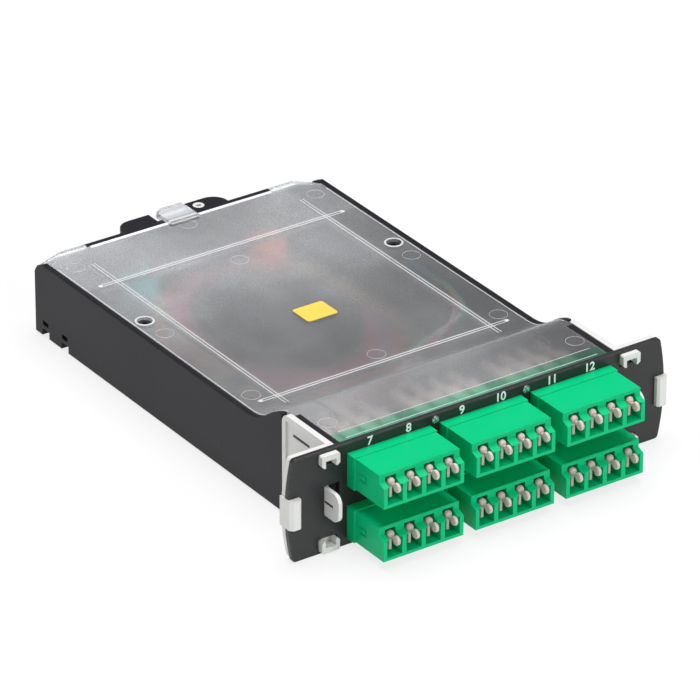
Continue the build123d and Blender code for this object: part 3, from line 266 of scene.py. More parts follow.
def shader_group(name: str, inputs: dict, outputs: dict) -> tuple:
    """Start a shader node group.

    Args:
        name: The group's name.
        inputs: Socket kind and default value by name.
        outputs: Socket kind by name.

    Returns:
        The group, its board, its input node and its output node.
    """
    group = bpy.data.node_groups.new(name, "ShaderNodeTree")
    for label, (kind, default) in inputs.items():
        socket = group.interface.new_socket(name=label, in_out="INPUT", socket_type=kind.value)
        socket.default_value = default
    for label, kind in outputs.items():
        group.interface.new_socket(name=label, in_out="OUTPUT", socket_type=kind.value)
    board = NodeBoard(group)
    return group, board, board.add("NodeGroupInput"), board.add("NodeGroupOutput")


@dataclass
class ShaderKit:
    """The effects that several finishes share, each built once."""

    fine_noise: tuple = (2.0, 0.6)
    broad_noise: tuple = (3.0, 0.5)
    edge_noise: tuple = (4.0, 0.65)
    dust_noise: tuple = (5.0, 0.6)
    fine_share: float = 0.6
    speck_start: float = 0.45
    speck_gain: float = 3.0
    edge_gain: float = 6.0
    edge_samples: int = 4
    break_start: float = 0.30
    break_gain: float = 2.6

    def __post_init__(self) -> None:
        """Build the groups."""
        self.grain = self._grain()
        self.wear_and_highlight = self._wear_and_highlight()
        self.dust = self._dust()

    def _grain(self) -> NodeTree:
        """Moulded grain: a fine height, a slow drift of tone and fine specks.

        Returns:
            The group, with Height, Drift and Speck.
        """
        group, board, inside, outside = shader_group(
            "moulded_grain",
            {"Fine": (Socket.VALUE, 2200.0), "Broad": (Socket.VALUE, 45.0)},
            {"Height": Socket.VALUE, "Drift": Socket.VALUE, "Speck": Socket.VALUE})
        here = board.here()
        fine = board.noise(here, inside.outputs["Fine"], *self.fine_noise)
        broad = board.noise(here, inside.outputs["Broad"], *self.broad_noise)
        cell = board.add("ShaderNodeTexVoronoi")
        board.join(here, cell.inputs["Vector"])
        board.join(inside.outputs["Fine"], cell.inputs["Scale"])
        height = board.math("ADD", board.math("MULTIPLY", fine, self.fine_share),
                            board.math("MULTIPLY", cell.outputs["Distance"], 1.0 - self.fine_share))
        speck = board.math("MULTIPLY", board.math("SUBTRACT", fine, self.speck_start), self.speck_gain, clamp=True)
        for name, value in (("Height", height), ("Drift", broad), ("Speck", speck)):
            board.join(value, outside.inputs[name])
        return group

    def _wear_and_highlight(self) -> NodeTree:
        """Rubbed edges with a painted highlight: lighter where a rounded normal leaves the true one.

        Returns:
            The group, with Mask and Normal.
        """
        group, board, inside, outside = shader_group(
            "rubbed_and_highlit_edges",
            {"Radius": (Socket.VALUE, 0.0003), "Spread": (Socket.VALUE, 260.0)},
            {"Mask": Socket.VALUE, "Normal": Socket.VECTOR})
        round_edge = board.add("ShaderNodeBevel", samples=self.edge_samples)
        board.join(inside.outputs["Radius"], round_edge.inputs["Radius"])
        dot = board.add("ShaderNodeVectorMath", operation="DOT_PRODUCT")
        board.join(round_edge.outputs["Normal"], dot.inputs[0])
        board.join(board.add("ShaderNodeNewGeometry").outputs["Normal"], dot.inputs[1])
        turned = board.math("SUBTRACT", 1.0, dot.outputs["Value"])
        edge = board.math("MULTIPLY", turned, self.edge_gain, clamp=True)
        patch = board.noise(board.here(), inside.outputs["Spread"], *self.edge_noise)
        broken = board.math("MULTIPLY", board.math("SUBTRACT", patch, self.break_start), self.break_gain, clamp=True)
        board.join(board.math("MULTIPLY", edge, broken), outside.inputs["Mask"])
        board.join(round_edge.outputs["Normal"], outside.inputs["Normal"])
        return group

    def _dust(self) -> NodeTree:
        """A thin film of dust on faces that look up.

        Returns:
            The group, with Mask.
        """
        group, board, inside, outside = shader_group(
            "dust_film", {"Scale": (Socket.VALUE, 90.0)}, {"Mask": Socket.VALUE})
        up = board.split(board.add("ShaderNodeNewGeometry").outputs["Normal"])[2]
        cloud = board.noise(board.here(), inside.outputs["Scale"], *self.dust_noise)
        facing = board.math("MULTIPLY", up, 1.0, clamp=True)
        board.join(board.math("MULTIPLY", facing, cloud, clamp=True), outside.inputs["Mask"])
        return group


@dataclass(frozen=True)
class Finish:
    """A surface finish and how it becomes a material."""

    name: str
    colour: tuple
    roughness: float = 0.45
    rough_span: float = 0.1
    grain: float = 1500.0
    grain_height: float = 0.00001
    broad: float = 30.0
    tone_span: float = 0.08
    # The edge colour is partly rubbed wear and partly a painted highlight along the edges.
    wear_and_highlight_colour: tuple = (0.9, 0.9, 0.9)
    wear_and_highlight: float = 0.3
    wear_and_highlight_radius: float = 0.0002
    dust: float = 0.0
    dust_colour: tuple = (0.62, 0.61, 0.59)
    specular: float = 0.5
    metallic: float = 0.0
    subsurface: float = 0.0
    subsurface_scale: float = 0.001
    transmission: float = 0.0
    ior: float = 1.5
    light_through: float = 0.0

    def build(self, kit: ShaderKit) -> Material:
        """Make the material.

        Args:
            kit: The shared shader groups.

        Returns:
            The finished material.
        """
        material = bpy.data.materials.new(self.name)
        board = NodeBoard.cleared(material)
        surface = board.add("ShaderNodeBsdfPrincipled")
        output = board.add("ShaderNodeOutputMaterial")
        grain = board.add("ShaderNodeGroup", node_tree=kit.grain)
        grain.inputs["Fine"].default_value = self.grain
        grain.inputs["Broad"].default_value = self.broad
        wear_and_highlight = board.add("ShaderNodeGroup", node_tree=kit.wear_and_highlight)
        wear_and_highlight.inputs["Radius"].default_value = self.wear_and_highlight_radius
        dust = board.add("ShaderNodeGroup", node_tree=kit.dust)
        # Lighten the edges, partly as rubbed wear and partly as a painted highlight.
        worn_and_highlit = board.math("MULTIPLY", wear_and_highlight.outputs["Mask"], self.wear_and_highlight)
        rubbed_and_highlit = board.mix(worn_and_highlit, self._tone(board, grain), self.wear_and_highlight_colour)
        film = board.math("MULTIPLY", dust.outputs["Mask"], self.dust)
        board.join(board.mix(film, rubbed_and_highlit, self.dust_colour), surface.inputs["Base Color"])
        board.join(self._gloss(board, grain), surface.inputs["Roughness"])
        bump = board.add("ShaderNodeBump")
        bump.inputs["Strength"].default_value = 1.0
        bump.inputs["Distance"].default_value = self.grain_height
        board.join(grain.outputs["Height"], bump.inputs["Height"])
        board.join(wear_and_highlight.outputs["Normal"], bump.inputs["Normal"])
        board.join(bump.outputs["Normal"], surface.inputs["Normal"])
        surface.inputs["Specular IOR Level"].default_value = self.specular
        surface.inputs["Metallic"].default_value = self.metallic
        surface.inputs["Subsurface Weight"].default_value = self.subsurface
        surface.inputs["Subsurface Scale"].default_value = self.subsurface_scale
        surface.inputs["Transmission Weight"].default_value = self.transmission
        surface.inputs["IOR"].default_value = self.ior
        if self.light_through > 0:
            self._let_light_through(board, surface, output)
        else:
            board.join(surface.outputs[0], output.inputs["Surface"])
        return material

    def _tone(self, board: NodeBoard, grain: Node) -> NodeSocket:
        """The colour before the edges' wear and painted highlight and the dust, with its slow drift.

        Args:
            board: The material's nodes.
            grain: The grain group's node.

        Returns:
            The colour.
        """
        dark = tuple(c * (1.0 - self.tone_span) for c in self.colour)
        light = tuple(min(1.0, c * (1.0 + self.tone_span)) for c in self.colour)
        return board.mix(grain.outputs["Drift"], dark, light)

    def _gloss(self, board: NodeBoard, grain: Node) -> NodeSocket:
        """The roughness, a little uneven.

        Args:
            board: The material's nodes.
            grain: The grain group's node.

        Returns:
            The roughness.
        """
        return board.math("ADD", self._unevenness(board, grain), self.roughness, clamp=True)

    def _unevenness(self, board: NodeBoard, grain: Node) -> NodeSocket:
        """How far the roughness strays from its mean.

        Args:
            board: The material's nodes.
            grain: The grain group's node.

        Returns:
            The difference, above or below nought.
        """
        swing = board.math("SUBTRACT", grain.outputs["Drift"], 0.5)
        return board.math("MULTIPLY", swing, self.rough_span)

    def _let_light_through(self, board: NodeBoard, surface: Node, output: Node) -> None:
        """Let lamps and bounced light pass a clear sheet unbent.

        Args:
            board: The material's nodes.
            surface: The sheet's own shader.
            output: The material's output.
        """
        path = board.add("ShaderNodeLightPath")
        clear = board.add("ShaderNodeBsdfTransparent")
        clear.inputs["Color"].default_value = (*(self.light_through,) * 3, 1.0)
        soft = board.math("MAXIMUM", path.outputs["Is Shadow Ray"], path.outputs["Is Diffuse Ray"])
        board.join(board.blend(soft, surface, clear), output.inputs["Surface"])


@dataclass(frozen=True)
class FrostedSheet(Finish):
    """The lid's sheet: milky, lighter towards the rear and the left and darker at the neck's right, with a painted
    reflection of the green adapters just behind the plate.
    """

    crease_x: float = 35.7
    front_crease: float = 44.8
    rear_crease: float = 125.6
    crease_inner: float = 1.0
    crease_outer: float = 1.5
    neck_rear: float = 34.0
    clear_front: float = 9.0
    clear_fade: float = 3.0
    tongue: float = 147.6
    tongue_fade: float = 0.6
    # A green tint just behind the plate: a painted reflection of the green adapters.
    green_reflection_depth: float = 7.0
    green_reflection_fade: float = 0.8
    green_reflection_colour: tuple = (0.42, 0.98, 0.72)
    far_span: tuple = (60.0, 118.0)
    side_span: tuple = (8.0, -30.0)
    corner_span: tuple = (20.0, 31.0)
    fall_span: tuple = (0.0, 42.0)
    veil: float = 0.40
    far_veil: float = 0.24
    side_veil: float = 0.04
    left_veil: float = 0.02
    right_veil: float = -0.10
    rear_veil: float = 0.10
    corner_veil: float = 0.04
    neck_veil: float = 0.56
    neck_fall: float = 0.46
    bar_veil: float = 0.16
    bar_half: float = 0.9
    bar_fade: float = 0.5
    drift_gain: float = 0.9
    drift_floor: float = 0.55
    speck: float = 0.36

    def _aside(self, board: NodeBoard, across: NodeSocket, start: float,
               end: float) -> NodeSocket:
        """A soft rise across the sheet, from one x in millimetres to another."""
        return board.ramp(across, start * MM, end * MM)

    def _deep(self, board: NodeBoard, along: NodeSocket, start: float,
              end: float) -> NodeSocket:
        """A soft rise along the sheet, from one depth in millimetres to another."""
        return board.ramp(along, (FACE_Y + start) * MM, (FACE_Y + end) * MM)

    def _tone(self, board: NodeBoard, grain: Node) -> NodeSocket:
        """How light the sheet is at each place, with the painted green reflection just behind the plate.

        Args:
            board: The material's nodes.
            grain: The grain group's node.

        Returns:
            The colour.
        """
        across, along, _ = board.split(board.here())
        rear = self._deep(board, along, self.rear_crease - self.crease_inner, self.rear_crease + self.crease_inner)
        corner = self._aside(board, board.math("ABSOLUTE", across), *self.corner_span)
        left = self._aside(board, across, self.crease_inner - self.crease_x, -self.crease_outer - self.crease_x)
        right = self._aside(board, across, self.crease_x - self.crease_inner, self.crease_x + self.crease_outer)
        veils = ((left, self.left_veil), (self._deep(board, along, *self.far_span), self.far_veil),
                 (self._aside(board, across, *self.side_span), self.side_veil), (right, self.right_veil),
                 (rear, self.rear_veil), (board.math("MULTIPLY", rear, corner), self.corner_veil),
                 (self._bars(board, across, along), self.bar_veil))
        value = self.veil
        for mask, share in veils:
            value = board.math("ADD", board.math("MULTIPLY", mask, share), value)
        neck = self._deep(board, along, self.front_crease, self.neck_rear)
        body = board.math("MULTIPLY", value, board.math("SUBTRACT", 1.0, neck))
        # Darker towards the neck's right.
        darker_right = board.math("MULTIPLY", self._aside(board, across, *self.fall_span), self.neck_fall)
        raised = board.math("MULTIPLY", board.math("SUBTRACT", 1.0, darker_right), self.neck_veil)
        value = board.math("ADD", body, board.math("MULTIPLY", neck, raised))
        drift = board.math("ADD", board.math("MULTIPLY", grain.outputs["Drift"], self.drift_gain), self.drift_floor)
        speck = board.math("MULTIPLY", grain.outputs["Speck"], self.speck)
        speck = board.math("ADD", speck, 1.0 - self.speck / 2)
        value = board.math("MULTIPLY", value, board.math("MULTIPLY", drift, speck), clamp=True)
        value = board.math("MAXIMUM", value, self._deep(board, along, self.tongue - self.tongue_fade, self.tongue))
        # Tint the sheet green just behind the plate, a painted reflection of the green adapters.
        green_reflection = self._deep(board, along, self.green_reflection_depth + self.green_reflection_fade, self.green_reflection_depth - self.green_reflection_fade)
        return board.mix(value, (0.0, 0.0, 0.0), board.mix(green_reflection, self.colour, self.green_reflection_colour))

    def _bars(self, board: NodeBoard, across: NodeSocket,
              along: NodeSocket) -> NodeSocket:
        """The soft bars under the four creases.

        Args:
            board: The material's nodes.
            across: The place across the sheet.
            along: The place along the sheet.

        Returns:
            A mask that is 1 on a bar.
        """
        half, edge = self.bar_half, self.bar_half + self.bar_fade
        aside = board.math("ABSOLUTE", across)
        middle = (FACE_Y + (self.front_crease + self.rear_crease) / 2) * MM
        away = board.math("ABSOLUTE", board.math("SUBTRACT", along, middle))
        reach = (self.rear_crease - self.front_crease) / 2
        bars = []
        for near, crease, other, limit in ((aside, self.crease_x, away, reach), (away, reach, aside, self.crease_x)):
            off = board.math("ABSOLUTE", board.math("SUBTRACT", near, crease * MM))
            bars.append(board.math("MULTIPLY", self._aside(board, off, edge, half),
                                   self._aside(board, other, limit + edge, limit + half)))
        return board.math("MAXIMUM", *bars)

    def _gloss(self, board: NodeBoard, grain: Node) -> NodeSocket:
        """The sheet is polished close behind the plate and frosted elsewhere.

        Args:
            board: The material's nodes.
            grain: The grain group's node.

        Returns:
            The roughness.
        """
        along = board.split(board.here())[1]
        frosted = self._deep(board, along, self.clear_front - self.clear_fade, self.clear_front + self.clear_fade)
        polished = self.roughness / 2
        value = board.math("ADD", board.math("MULTIPLY", frosted, polished), polished)
        return board.math("ADD", value, self._unevenness(board, grain), clamp=True)


@dataclass(frozen=True)
class PairedFinish(Finish):
    """One finish for a pair of pieces: the left one in the first colour, the right one in a second."""

    right_colour: tuple = (0.95, 0.28, 0.16)
    seam: float = 1.0

    def _tone(self, board: NodeBoard, grain: Node) -> NodeSocket:
        """Change the colour at the middle of the module.

        Args:
            board: The material's nodes.
            grain: The grain group's node.

        Returns:
            The colour.
        """
        side = board.ramp(board.split(board.here())[0], -self.seam * MM, self.seam * MM)
        drift = board.mix(grain.outputs["Drift"], (1.0 - self.tone_span,) * 3, (1.0,) * 3)
        tint = board.add("ShaderNodeVectorMath", operation="MULTIPLY")
        board.join(board.mix(side, self.colour, self.right_colour), tint.inputs[0])
        board.join(drift, tint.inputs[1])
        return tint.outputs["Vector"]


@dataclass
class Palette:
    """Every finish of the module, made into materials on demand."""

    kit: ShaderKit
    made: dict = field(default_factory=dict)

    def get(self, finish: Finish) -> Material:
        """Find the material of a finish, and build it the first time.

        Args:
            finish: The finish.

        Returns:
            Its material.
        """
        if finish.name not in self.made:
            self.made[finish.name] = finish.build(self.kit)
        return self.made[finish.name]


# Each finish's lighter edge colour is partly wear and partly a painted highlight on its edges.
BLACK_SHELL = Finish(
    "black_shell", (0.0090, 0.0080, 0.0125), roughness=0.40, rough_span=0.14, grain_height=0.00003,
    tone_span=0.18, wear_and_highlight_colour=(0.13, 0.13, 0.14), wear_and_highlight=0.5, wear_and_highlight_radius=0.00035, dust=0.02, specular=0.22)
# Its grey edge colour paints the light line along the plate's edges as well as wear.
BLACK_PLATE = Finish(
    "black_plate", (0.026, 0.026, 0.028), roughness=0.32, rough_span=0.14, grain=1300.0,
    grain_height=0.00004, broad=40.0, tone_span=0.20, wear_and_highlight_colour=(0.24, 0.24, 0.24), wear_and_highlight=0.8,
    wear_and_highlight_radius=0.0003, dust=0.01, specular=0.36)
BLACK_INNER = Finish(
    "black_inner", (0.020, 0.020, 0.022), roughness=0.5, grain_height=0.00002, tone_span=0.15,
    wear_and_highlight_colour=(0.2, 0.2, 0.2), wear_and_highlight_radius=0.0003, dust=0.02)
FROST = FrostedSheet(
    "frosted_lid", (0.96, 0.975, 1.0), roughness=0.25, rough_span=0.08, grain=2400.0, grain_height=0.00003,
    broad=34.0, tone_span=0.03, wear_and_highlight_colour=(0.95, 0.96, 0.98), wear_and_highlight=0.25, wear_and_highlight_radius=0.0003,
    transmission=0.70, ior=1.3, light_through=1.0)
# A pale clear colour for the lid's raised lines and rings that paints their highlights.
HIGHLIT_CLEAR = Finish(
    "highlit_clear", (0.86, 0.87, 0.89), roughness=0.24, rough_span=0.08, grain=2600.0, grain_height=0.00002,
    tone_span=0.03, transmission=0.32, ior=1.35, light_through=1.0)
# A near-white, nearly opaque clear colour that paints the highlight along the lid's rear edge.
HIGHLIT_LIP = Finish(
    "highlit_lip", (0.97, 0.98, 1.0), roughness=0.20, rough_span=0.06, grain=2600.0, tone_span=0.02,
    wear_and_highlight_colour=(1.0, 1.0, 1.0), wear_and_highlight=0.2, transmission=0.08, ior=1.45, light_through=1.0)
# Its light green edge colour paints the bright front edges of the adapters.
GREEN_SHELL = Finish(
    "green_shell", (0.0, 0.54, 0.21), roughness=0.36, rough_span=0.12, grain=1900.0, grain_height=0.000012,
    broad=60.0, tone_span=0.06, wear_and_highlight_colour=(0.12, 0.85, 0.50), wear_and_highlight=0.6, specular=0.12)
WHITE_SHELL = Finish(
    "white_shell", (0.78, 0.775, 0.755), roughness=0.38, rough_span=0.12, grain=1700.0,
    grain_height=0.00002, broad=50.0, tone_span=0.05, wear_and_highlight_colour=(0.95, 0.95, 0.95), wear_and_highlight=0.4,
    wear_and_highlight_radius=0.00025, dust=0.02)
# Its pale edge colour paints the bright outline round each plug's lobe.
SOFT_PLUG = Finish(
    "soft_plug", (0.68, 0.56, 0.51), roughness=0.30, rough_span=0.12, broad=300.0, tone_span=0.10,
    wear_and_highlight_colour=(1.0, 0.94, 0.90), wear_and_highlight=0.9, wear_and_highlight_radius=0.00028, subsurface=0.2, subsurface_scale=0.0008)
YELLOW_FILM = Finish(
    "yellow_film", (0.90, 0.66, 0.10), roughness=0.42, grain=1200.0, broad=120.0, tone_span=0.05,
    wear_and_highlight_colour=(0.95, 0.85, 0.45), wear_and_highlight_radius=0.0001)
WHITE_INK = Finish(
    "white_ink", (0.95, 0.95, 0.95), roughness=0.5, grain=2500.0, broad=200.0, tone_span=0.06,
    wear_and_highlight_colour=(0.8, 0.8, 0.8), wear_and_highlight=0.1, wear_and_highlight_radius=0.00003)
DARK_STEEL = Finish(
    "dark_steel", (0.10, 0.10, 0.11), roughness=0.34, rough_span=0.16, grain=2500.0, broad=250.0,
    tone_span=0.15, wear_and_highlight_colour=(0.5, 0.5, 0.5), wear_and_highlight=0.6, wear_and_highlight_radius=0.0001, metallic=1.0)
BRIGHT_STEEL = Finish(
    "bright_steel", (0.72, 0.72, 0.73), roughness=0.24, rough_span=0.14, grain=2500.0, broad=250.0,
    wear_and_highlight=0.4, wear_and_highlight_radius=0.0001, metallic=1.0)
BEIGE_BODY = Finish(
    "beige_body", (0.88, 0.72, 0.65), roughness=0.45, grain=1800.0, broad=90.0,
    wear_and_highlight_colour=(0.9, 0.85, 0.75))
TRUNK_BODY = PairedFinish(
    "trunk_body", (0.12, 0.62, 0.58), roughness=0.42, grain=1800.0, broad=90.0, wear_and_highlight_colour=(0.4, 0.8, 0.8))
SLEEVE_FILM = Finish(
    "sleeve_film", (0.12, 0.42, 0.58), roughness=0.30, grain_height=0.000004, broad=160.0, tone_span=0.10,
    wear_and_highlight_colour=(0.6, 0.8, 0.9), wear_and_highlight=0.2, wear_and_highlight_radius=0.0001)
JACKET_COLOURS = {
    "blue": (0.06, 0.26, 0.85), "orange": (0.98, 0.36, 0.05), "green": (0.07, 0.62, 0.28),
    "brown": (0.22, 0.09, 0.04), "slate": (0.25, 0.27, 0.30), "white": (0.78, 0.78, 0.76),
    "red": (0.92, 0.09, 0.07), "black": (0.03, 0.03, 0.03), "yellow": (0.95, 0.82, 0.10),
    "violet": (0.45, 0.18, 0.72), "rose": (0.98, 0.38, 0.46), "aqua": (0.14, 0.78, 0.76),
}
JACKETS = {
    word: Finish(
        f"jacket_{word}", colour, roughness=0.38, grain_height=0.000004, broad=160.0, tone_span=0.10,
        wear_and_highlight=0.05, wear_and_highlight_radius=0.00005)
    for word, colour in JACKET_COLOURS.items()
}


def spun_profile(points: Sequence[tuple], steps: int = 28) -> BMesh:
    """Spin a profile round the Y axis.

    Args:
        points: Radius and y of each point of the profile, in millimetres.
        steps: How many steps make the full turn.

    Returns:
        The closed shape at the origin, in metres.
    """
    shape = bmesh.new()
    corners = [shape.verts.new(Vector((radius, y, 0.0)) * MM) for radius, y in points]
    edges = [shape.edges.new(pair) for pair in zip(corners, corners[1:])]
    bmesh.ops.spin(shape, geom=corners + edges, cent=(0, 0, 0), axis=(0, 1, 0), dvec=(0, 0, 0),
                   angle=math.tau, steps=steps, use_merge=True, use_duplicate=False)
    bmesh.ops.remove_doubles(shape, verts=shape.verts, dist=MERGE_DISTANCE)
    bmesh.ops.recalc_face_normals(shape, faces=shape.faces)
    return shape


def slab(outline: Sequence[Vector], thickness: Vector, bevel: float = 0.0) -> BMesh:
    """Extrude a flat outline into a slab with softened edges.

    Args:
        outline: The outline's corners in order, in metres.
        thickness: The extrusion, in metres.
        bevel: Width of the softened edge, in metres.

    Returns:
        The shape.
    """
    shape = bmesh.new()
    corners = [shape.verts.new(point) for point in outline]
    base = shape.faces.new(corners)
    grown = bmesh.ops.extrude_face_region(shape, geom=[base])
    moved = [item for item in grown["geom"] if isinstance(item, BMVert)]
    bmesh.ops.translate(shape, verts=moved, vec=thickness)
    bmesh.ops.recalc_face_normals(shape, faces=shape.faces)
    if bevel > 0:
        bmesh.ops.bevel(shape, geom=shape.edges[:], offset=bevel, segments=BEVEL_SEGMENTS, profile=0.5,
                        affect="EDGES", material=-1, clamp_overlap=True)
    return shape


def merge_into(target: BMesh, source: BMesh, seats: Iterable[Matrix]) -> None:
    """Copy one shape into another at each of its seats, and free it.

    Args:
        target: The shape that grows.
        source: The shape that is copied, and used up.
        seats: Where the copies go.
    """
    for seat in seats:
        mesh = bpy.data.meshes.new("scratch")
        copy = source.copy()
        bmesh.ops.transform(copy, matrix=seat, verts=copy.verts)
        copy.to_mesh(mesh)
        target.from_mesh(mesh)
        copy.free()
        bpy.data.meshes.remove(mesh)
    source.free()


def upright_seats(points: Iterable[Vector]) -> list:
    """Seats that stand a spun shape's axis upright at each point."""
    return [Matrix.Translation(point) @ UPRIGHT for point in points]


def add_slab(target: BMesh, outline: Sequence[Vector], thickness: Vector,
             bevel: float = 0.0) -> None:
    """Add a slab to a shape.

    Args:
        target: The shape that grows.
        outline: The slab's outline, in metres.
        thickness: Its extrusion, in metres.
        bevel: Width of its softened edge, in metres.
    """
    merge_into(target, slab(outline, thickness, bevel), [Matrix.Identity(4)])


@dataclass
class RoofLine:
    """The lid's line from the raised neck down to the long flat."""

    high: float = 30.8
    low: float = 23.0
    front: float = 21.0
    rear: float = 42.0
    steps: int = 18
    halvings: int = 24

    def height(self, behind: float) -> float:
        """Find the height of the lid's top on the curve that joins its two levels.

        Args:
            behind: The depth, in millimetres.

        Returns:
            The height, in millimetres.
        """
        if behind <= self.front:
            return self.high
        if behind >= self.rear:
            return self.low
        middle = (self.front + self.rear) / 2
        share, step = 0.5, 0.25
        for _ in range(self.halvings):
            rest = 1.0 - share
            depth = (self.front * rest ** 3 + 3 * middle * share * rest ** 2
                     + 3 * middle * share ** 2 * rest + self.rear * share ** 3)
            share += step if depth < behind else -step
            step /= 2
        rest = 1.0 - share
        return (self.high * (rest ** 3 + 3 * share * rest ** 2)
                + self.low * (3 * share ** 2 * rest + share ** 3))

    def stations(self, start: float, end: float) -> list:
        """Depths at which a strip along the roof needs a corner."""
        ramp = [self.front + (self.rear - self.front) * i / self.steps for i in range(self.steps + 1)]
        return [start] + [d for d in ramp if start < d < end] + [end]

    def add_strip(self, shape: BMesh, sides: tuple, ends: tuple, height: float) -> None:
        """Add a raised strip, with a ridge in its middle, that follows the line.

        Args:
            shape: The shape that grows.
            sides: The strip's two x places, in millimetres.
            ends: Depths of its front and rear ends.
            height: How far its ridge stands proud.
        """
        low, high = sorted(sides)
        rows = []
        for behind in self.stations(*ends):
            z = self.height(behind)
            corners = ((low, z - SINK), ((low + high) / 2, z + height), (high, z - SINK))
            rows.append([shape.verts.new(place(x, behind, level)) for x, level in corners])
        loops = [[shape.edges.new(pair) for pair in zip(row, row[1:] + row[:1])] for row in rows]
        for near, far in zip(loops, loops[1:]):
            bmesh.ops.bridge_loops(shape, edges=near + far)
        for row in (rows[0], rows[-1]):
            shape.faces.new(row)


@dataclass
class SubAssembly:
    """A group of the module's pieces, with the materials that it draws on."""

    palette: Palette

    def dress(self) -> None:
        """Dress the group's nodes and build its new pieces."""
        raise NotImplementedError

    def dress_node(self, name: str, finish: Finish, slot: str) -> None:
        """Give a node of the part its finish.

        Args:
            name: The node.
            finish: Its finish.
            slot: The record's slot; not used.
        """
        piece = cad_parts[name]
        piece.data.materials.clear()
        piece.data.materials.append(self.palette.get(finish))
        LOG.info("dressed %s", name)

    def add_piece(self, name: str, shape: BMesh, finish: Finish, slot: str,
                  body: str = HOUSING, smooth_angle: float = 35.0) -> bpy.types.Object:
        """Turn a built shape into a piece that rides on a body.

        Args:
            name: The piece's name.
            shape: The finished shape, in metres in the part's frame.
            finish: Its finish.
            slot: The record's material slot; not used.
            body: The body it rides on.
            smooth_angle: Edges sharper than this many degrees stay sharp.

        Returns:
            The new object.
        """
        bmesh.ops.remove_doubles(shape, verts=shape.verts, dist=MERGE_DISTANCE)
        bmesh.ops.recalc_face_normals(shape, faces=shape.faces)
        for face in shape.faces:
            face.smooth = True
        limit = math.radians(smooth_angle)
        for edge in shape.edges:
            edge.smooth = len(edge.link_faces) == 2 and edge.calc_face_angle(0.0) < limit
        mesh = bpy.data.meshes.new(name)
        shape.to_mesh(mesh)
        shape.free()
        mesh.materials.append(self.palette.get(finish))
        piece = bpy.data.objects.new(name, mesh)
        bpy.context.scene.collection.objects.link(piece)
        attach(piece, body)
        LOG.info("built %s with %d faces", name, len(mesh.polygons))
        return piece

    def add_tube(self, curve: Curve, finish: Finish, slot: str) -> bpy.types.Object:
        """Turn a tube curve into a piece of the same name that rides on the housing."""
        return self.add_piece(curve.name, curve_shape(curve), finish, slot, smooth_angle=80.0)


@dataclass
class Tray(SubAssembly):
    """The black tray, the bead on its walls and the pale ring in its tie hole."""

    half_width: float = 48.2
    rim_inset: float = 0.55
    rim_width: float = 0.35
    rim_height: float = 0.12
    rim_ends: tuple = (25.0, 145.6)
    tie_x: float = 9.4
    tie_behind: float = 152.65
    tie_radius: float = 1.8
    pale_ring_bore: float = 0.45
    pale_ring_face: float = 0.55
    pale_ring_edge: float = 0.85
    pale_ring_outer: float = 0.97
    pale_ring_chamfer: float = 0.1
    pale_ring_proud: float = 0.05
    ear_top: float = 22.8
    ear_thickness: float = 2.2
    roof: RoofLine = field(default_factory=RoofLine)

    def dress(self) -> None:
        """Give the tray its finish, its rim bead and its pale ring."""
        self.dress_node("tray", BLACK_SHELL, "black_moulding")
        shape = bmesh.new()
        for side in Side:
            outer = side.value * (self.half_width - self.rim_inset)
            inner = outer - side.value * self.rim_width
            self.roof.add_strip(shape, (outer, inner), self.rim_ends, self.rim_height)
        self.add_piece("tray_rim_bead", shape, BLACK_SHELL, "black_moulding")
        self._pale_ring()

    def _pale_ring(self) -> None:
        """Line the tie hole of the right ear with a pale ring that makes the hole look light."""
        half = self.ear_thickness / 2
        shares = ((self.pale_ring_bore, -half), (self.pale_ring_outer, -half), (self.pale_ring_outer, half - self.pale_ring_chamfer),
                  (self.pale_ring_edge, half + self.pale_ring_proud), (self.pale_ring_face, half + self.pale_ring_proud),
                  (self.pale_ring_bore, half - self.pale_ring_chamfer), (self.pale_ring_bore, -half))
        # A pale ring that makes the hole look light.
        ring = spun_profile([(self.tie_radius * share, y) for share, y in shares], 32)
        shape = bmesh.new()
        merge_into(shape, ring, upright_seats([place(self.tie_x, self.tie_behind, self.ear_top - half)]))
        self.add_piece("tie_hole_pale_ring", shape, WHITE_SHELL, "white_moulding", smooth_angle=40.0)


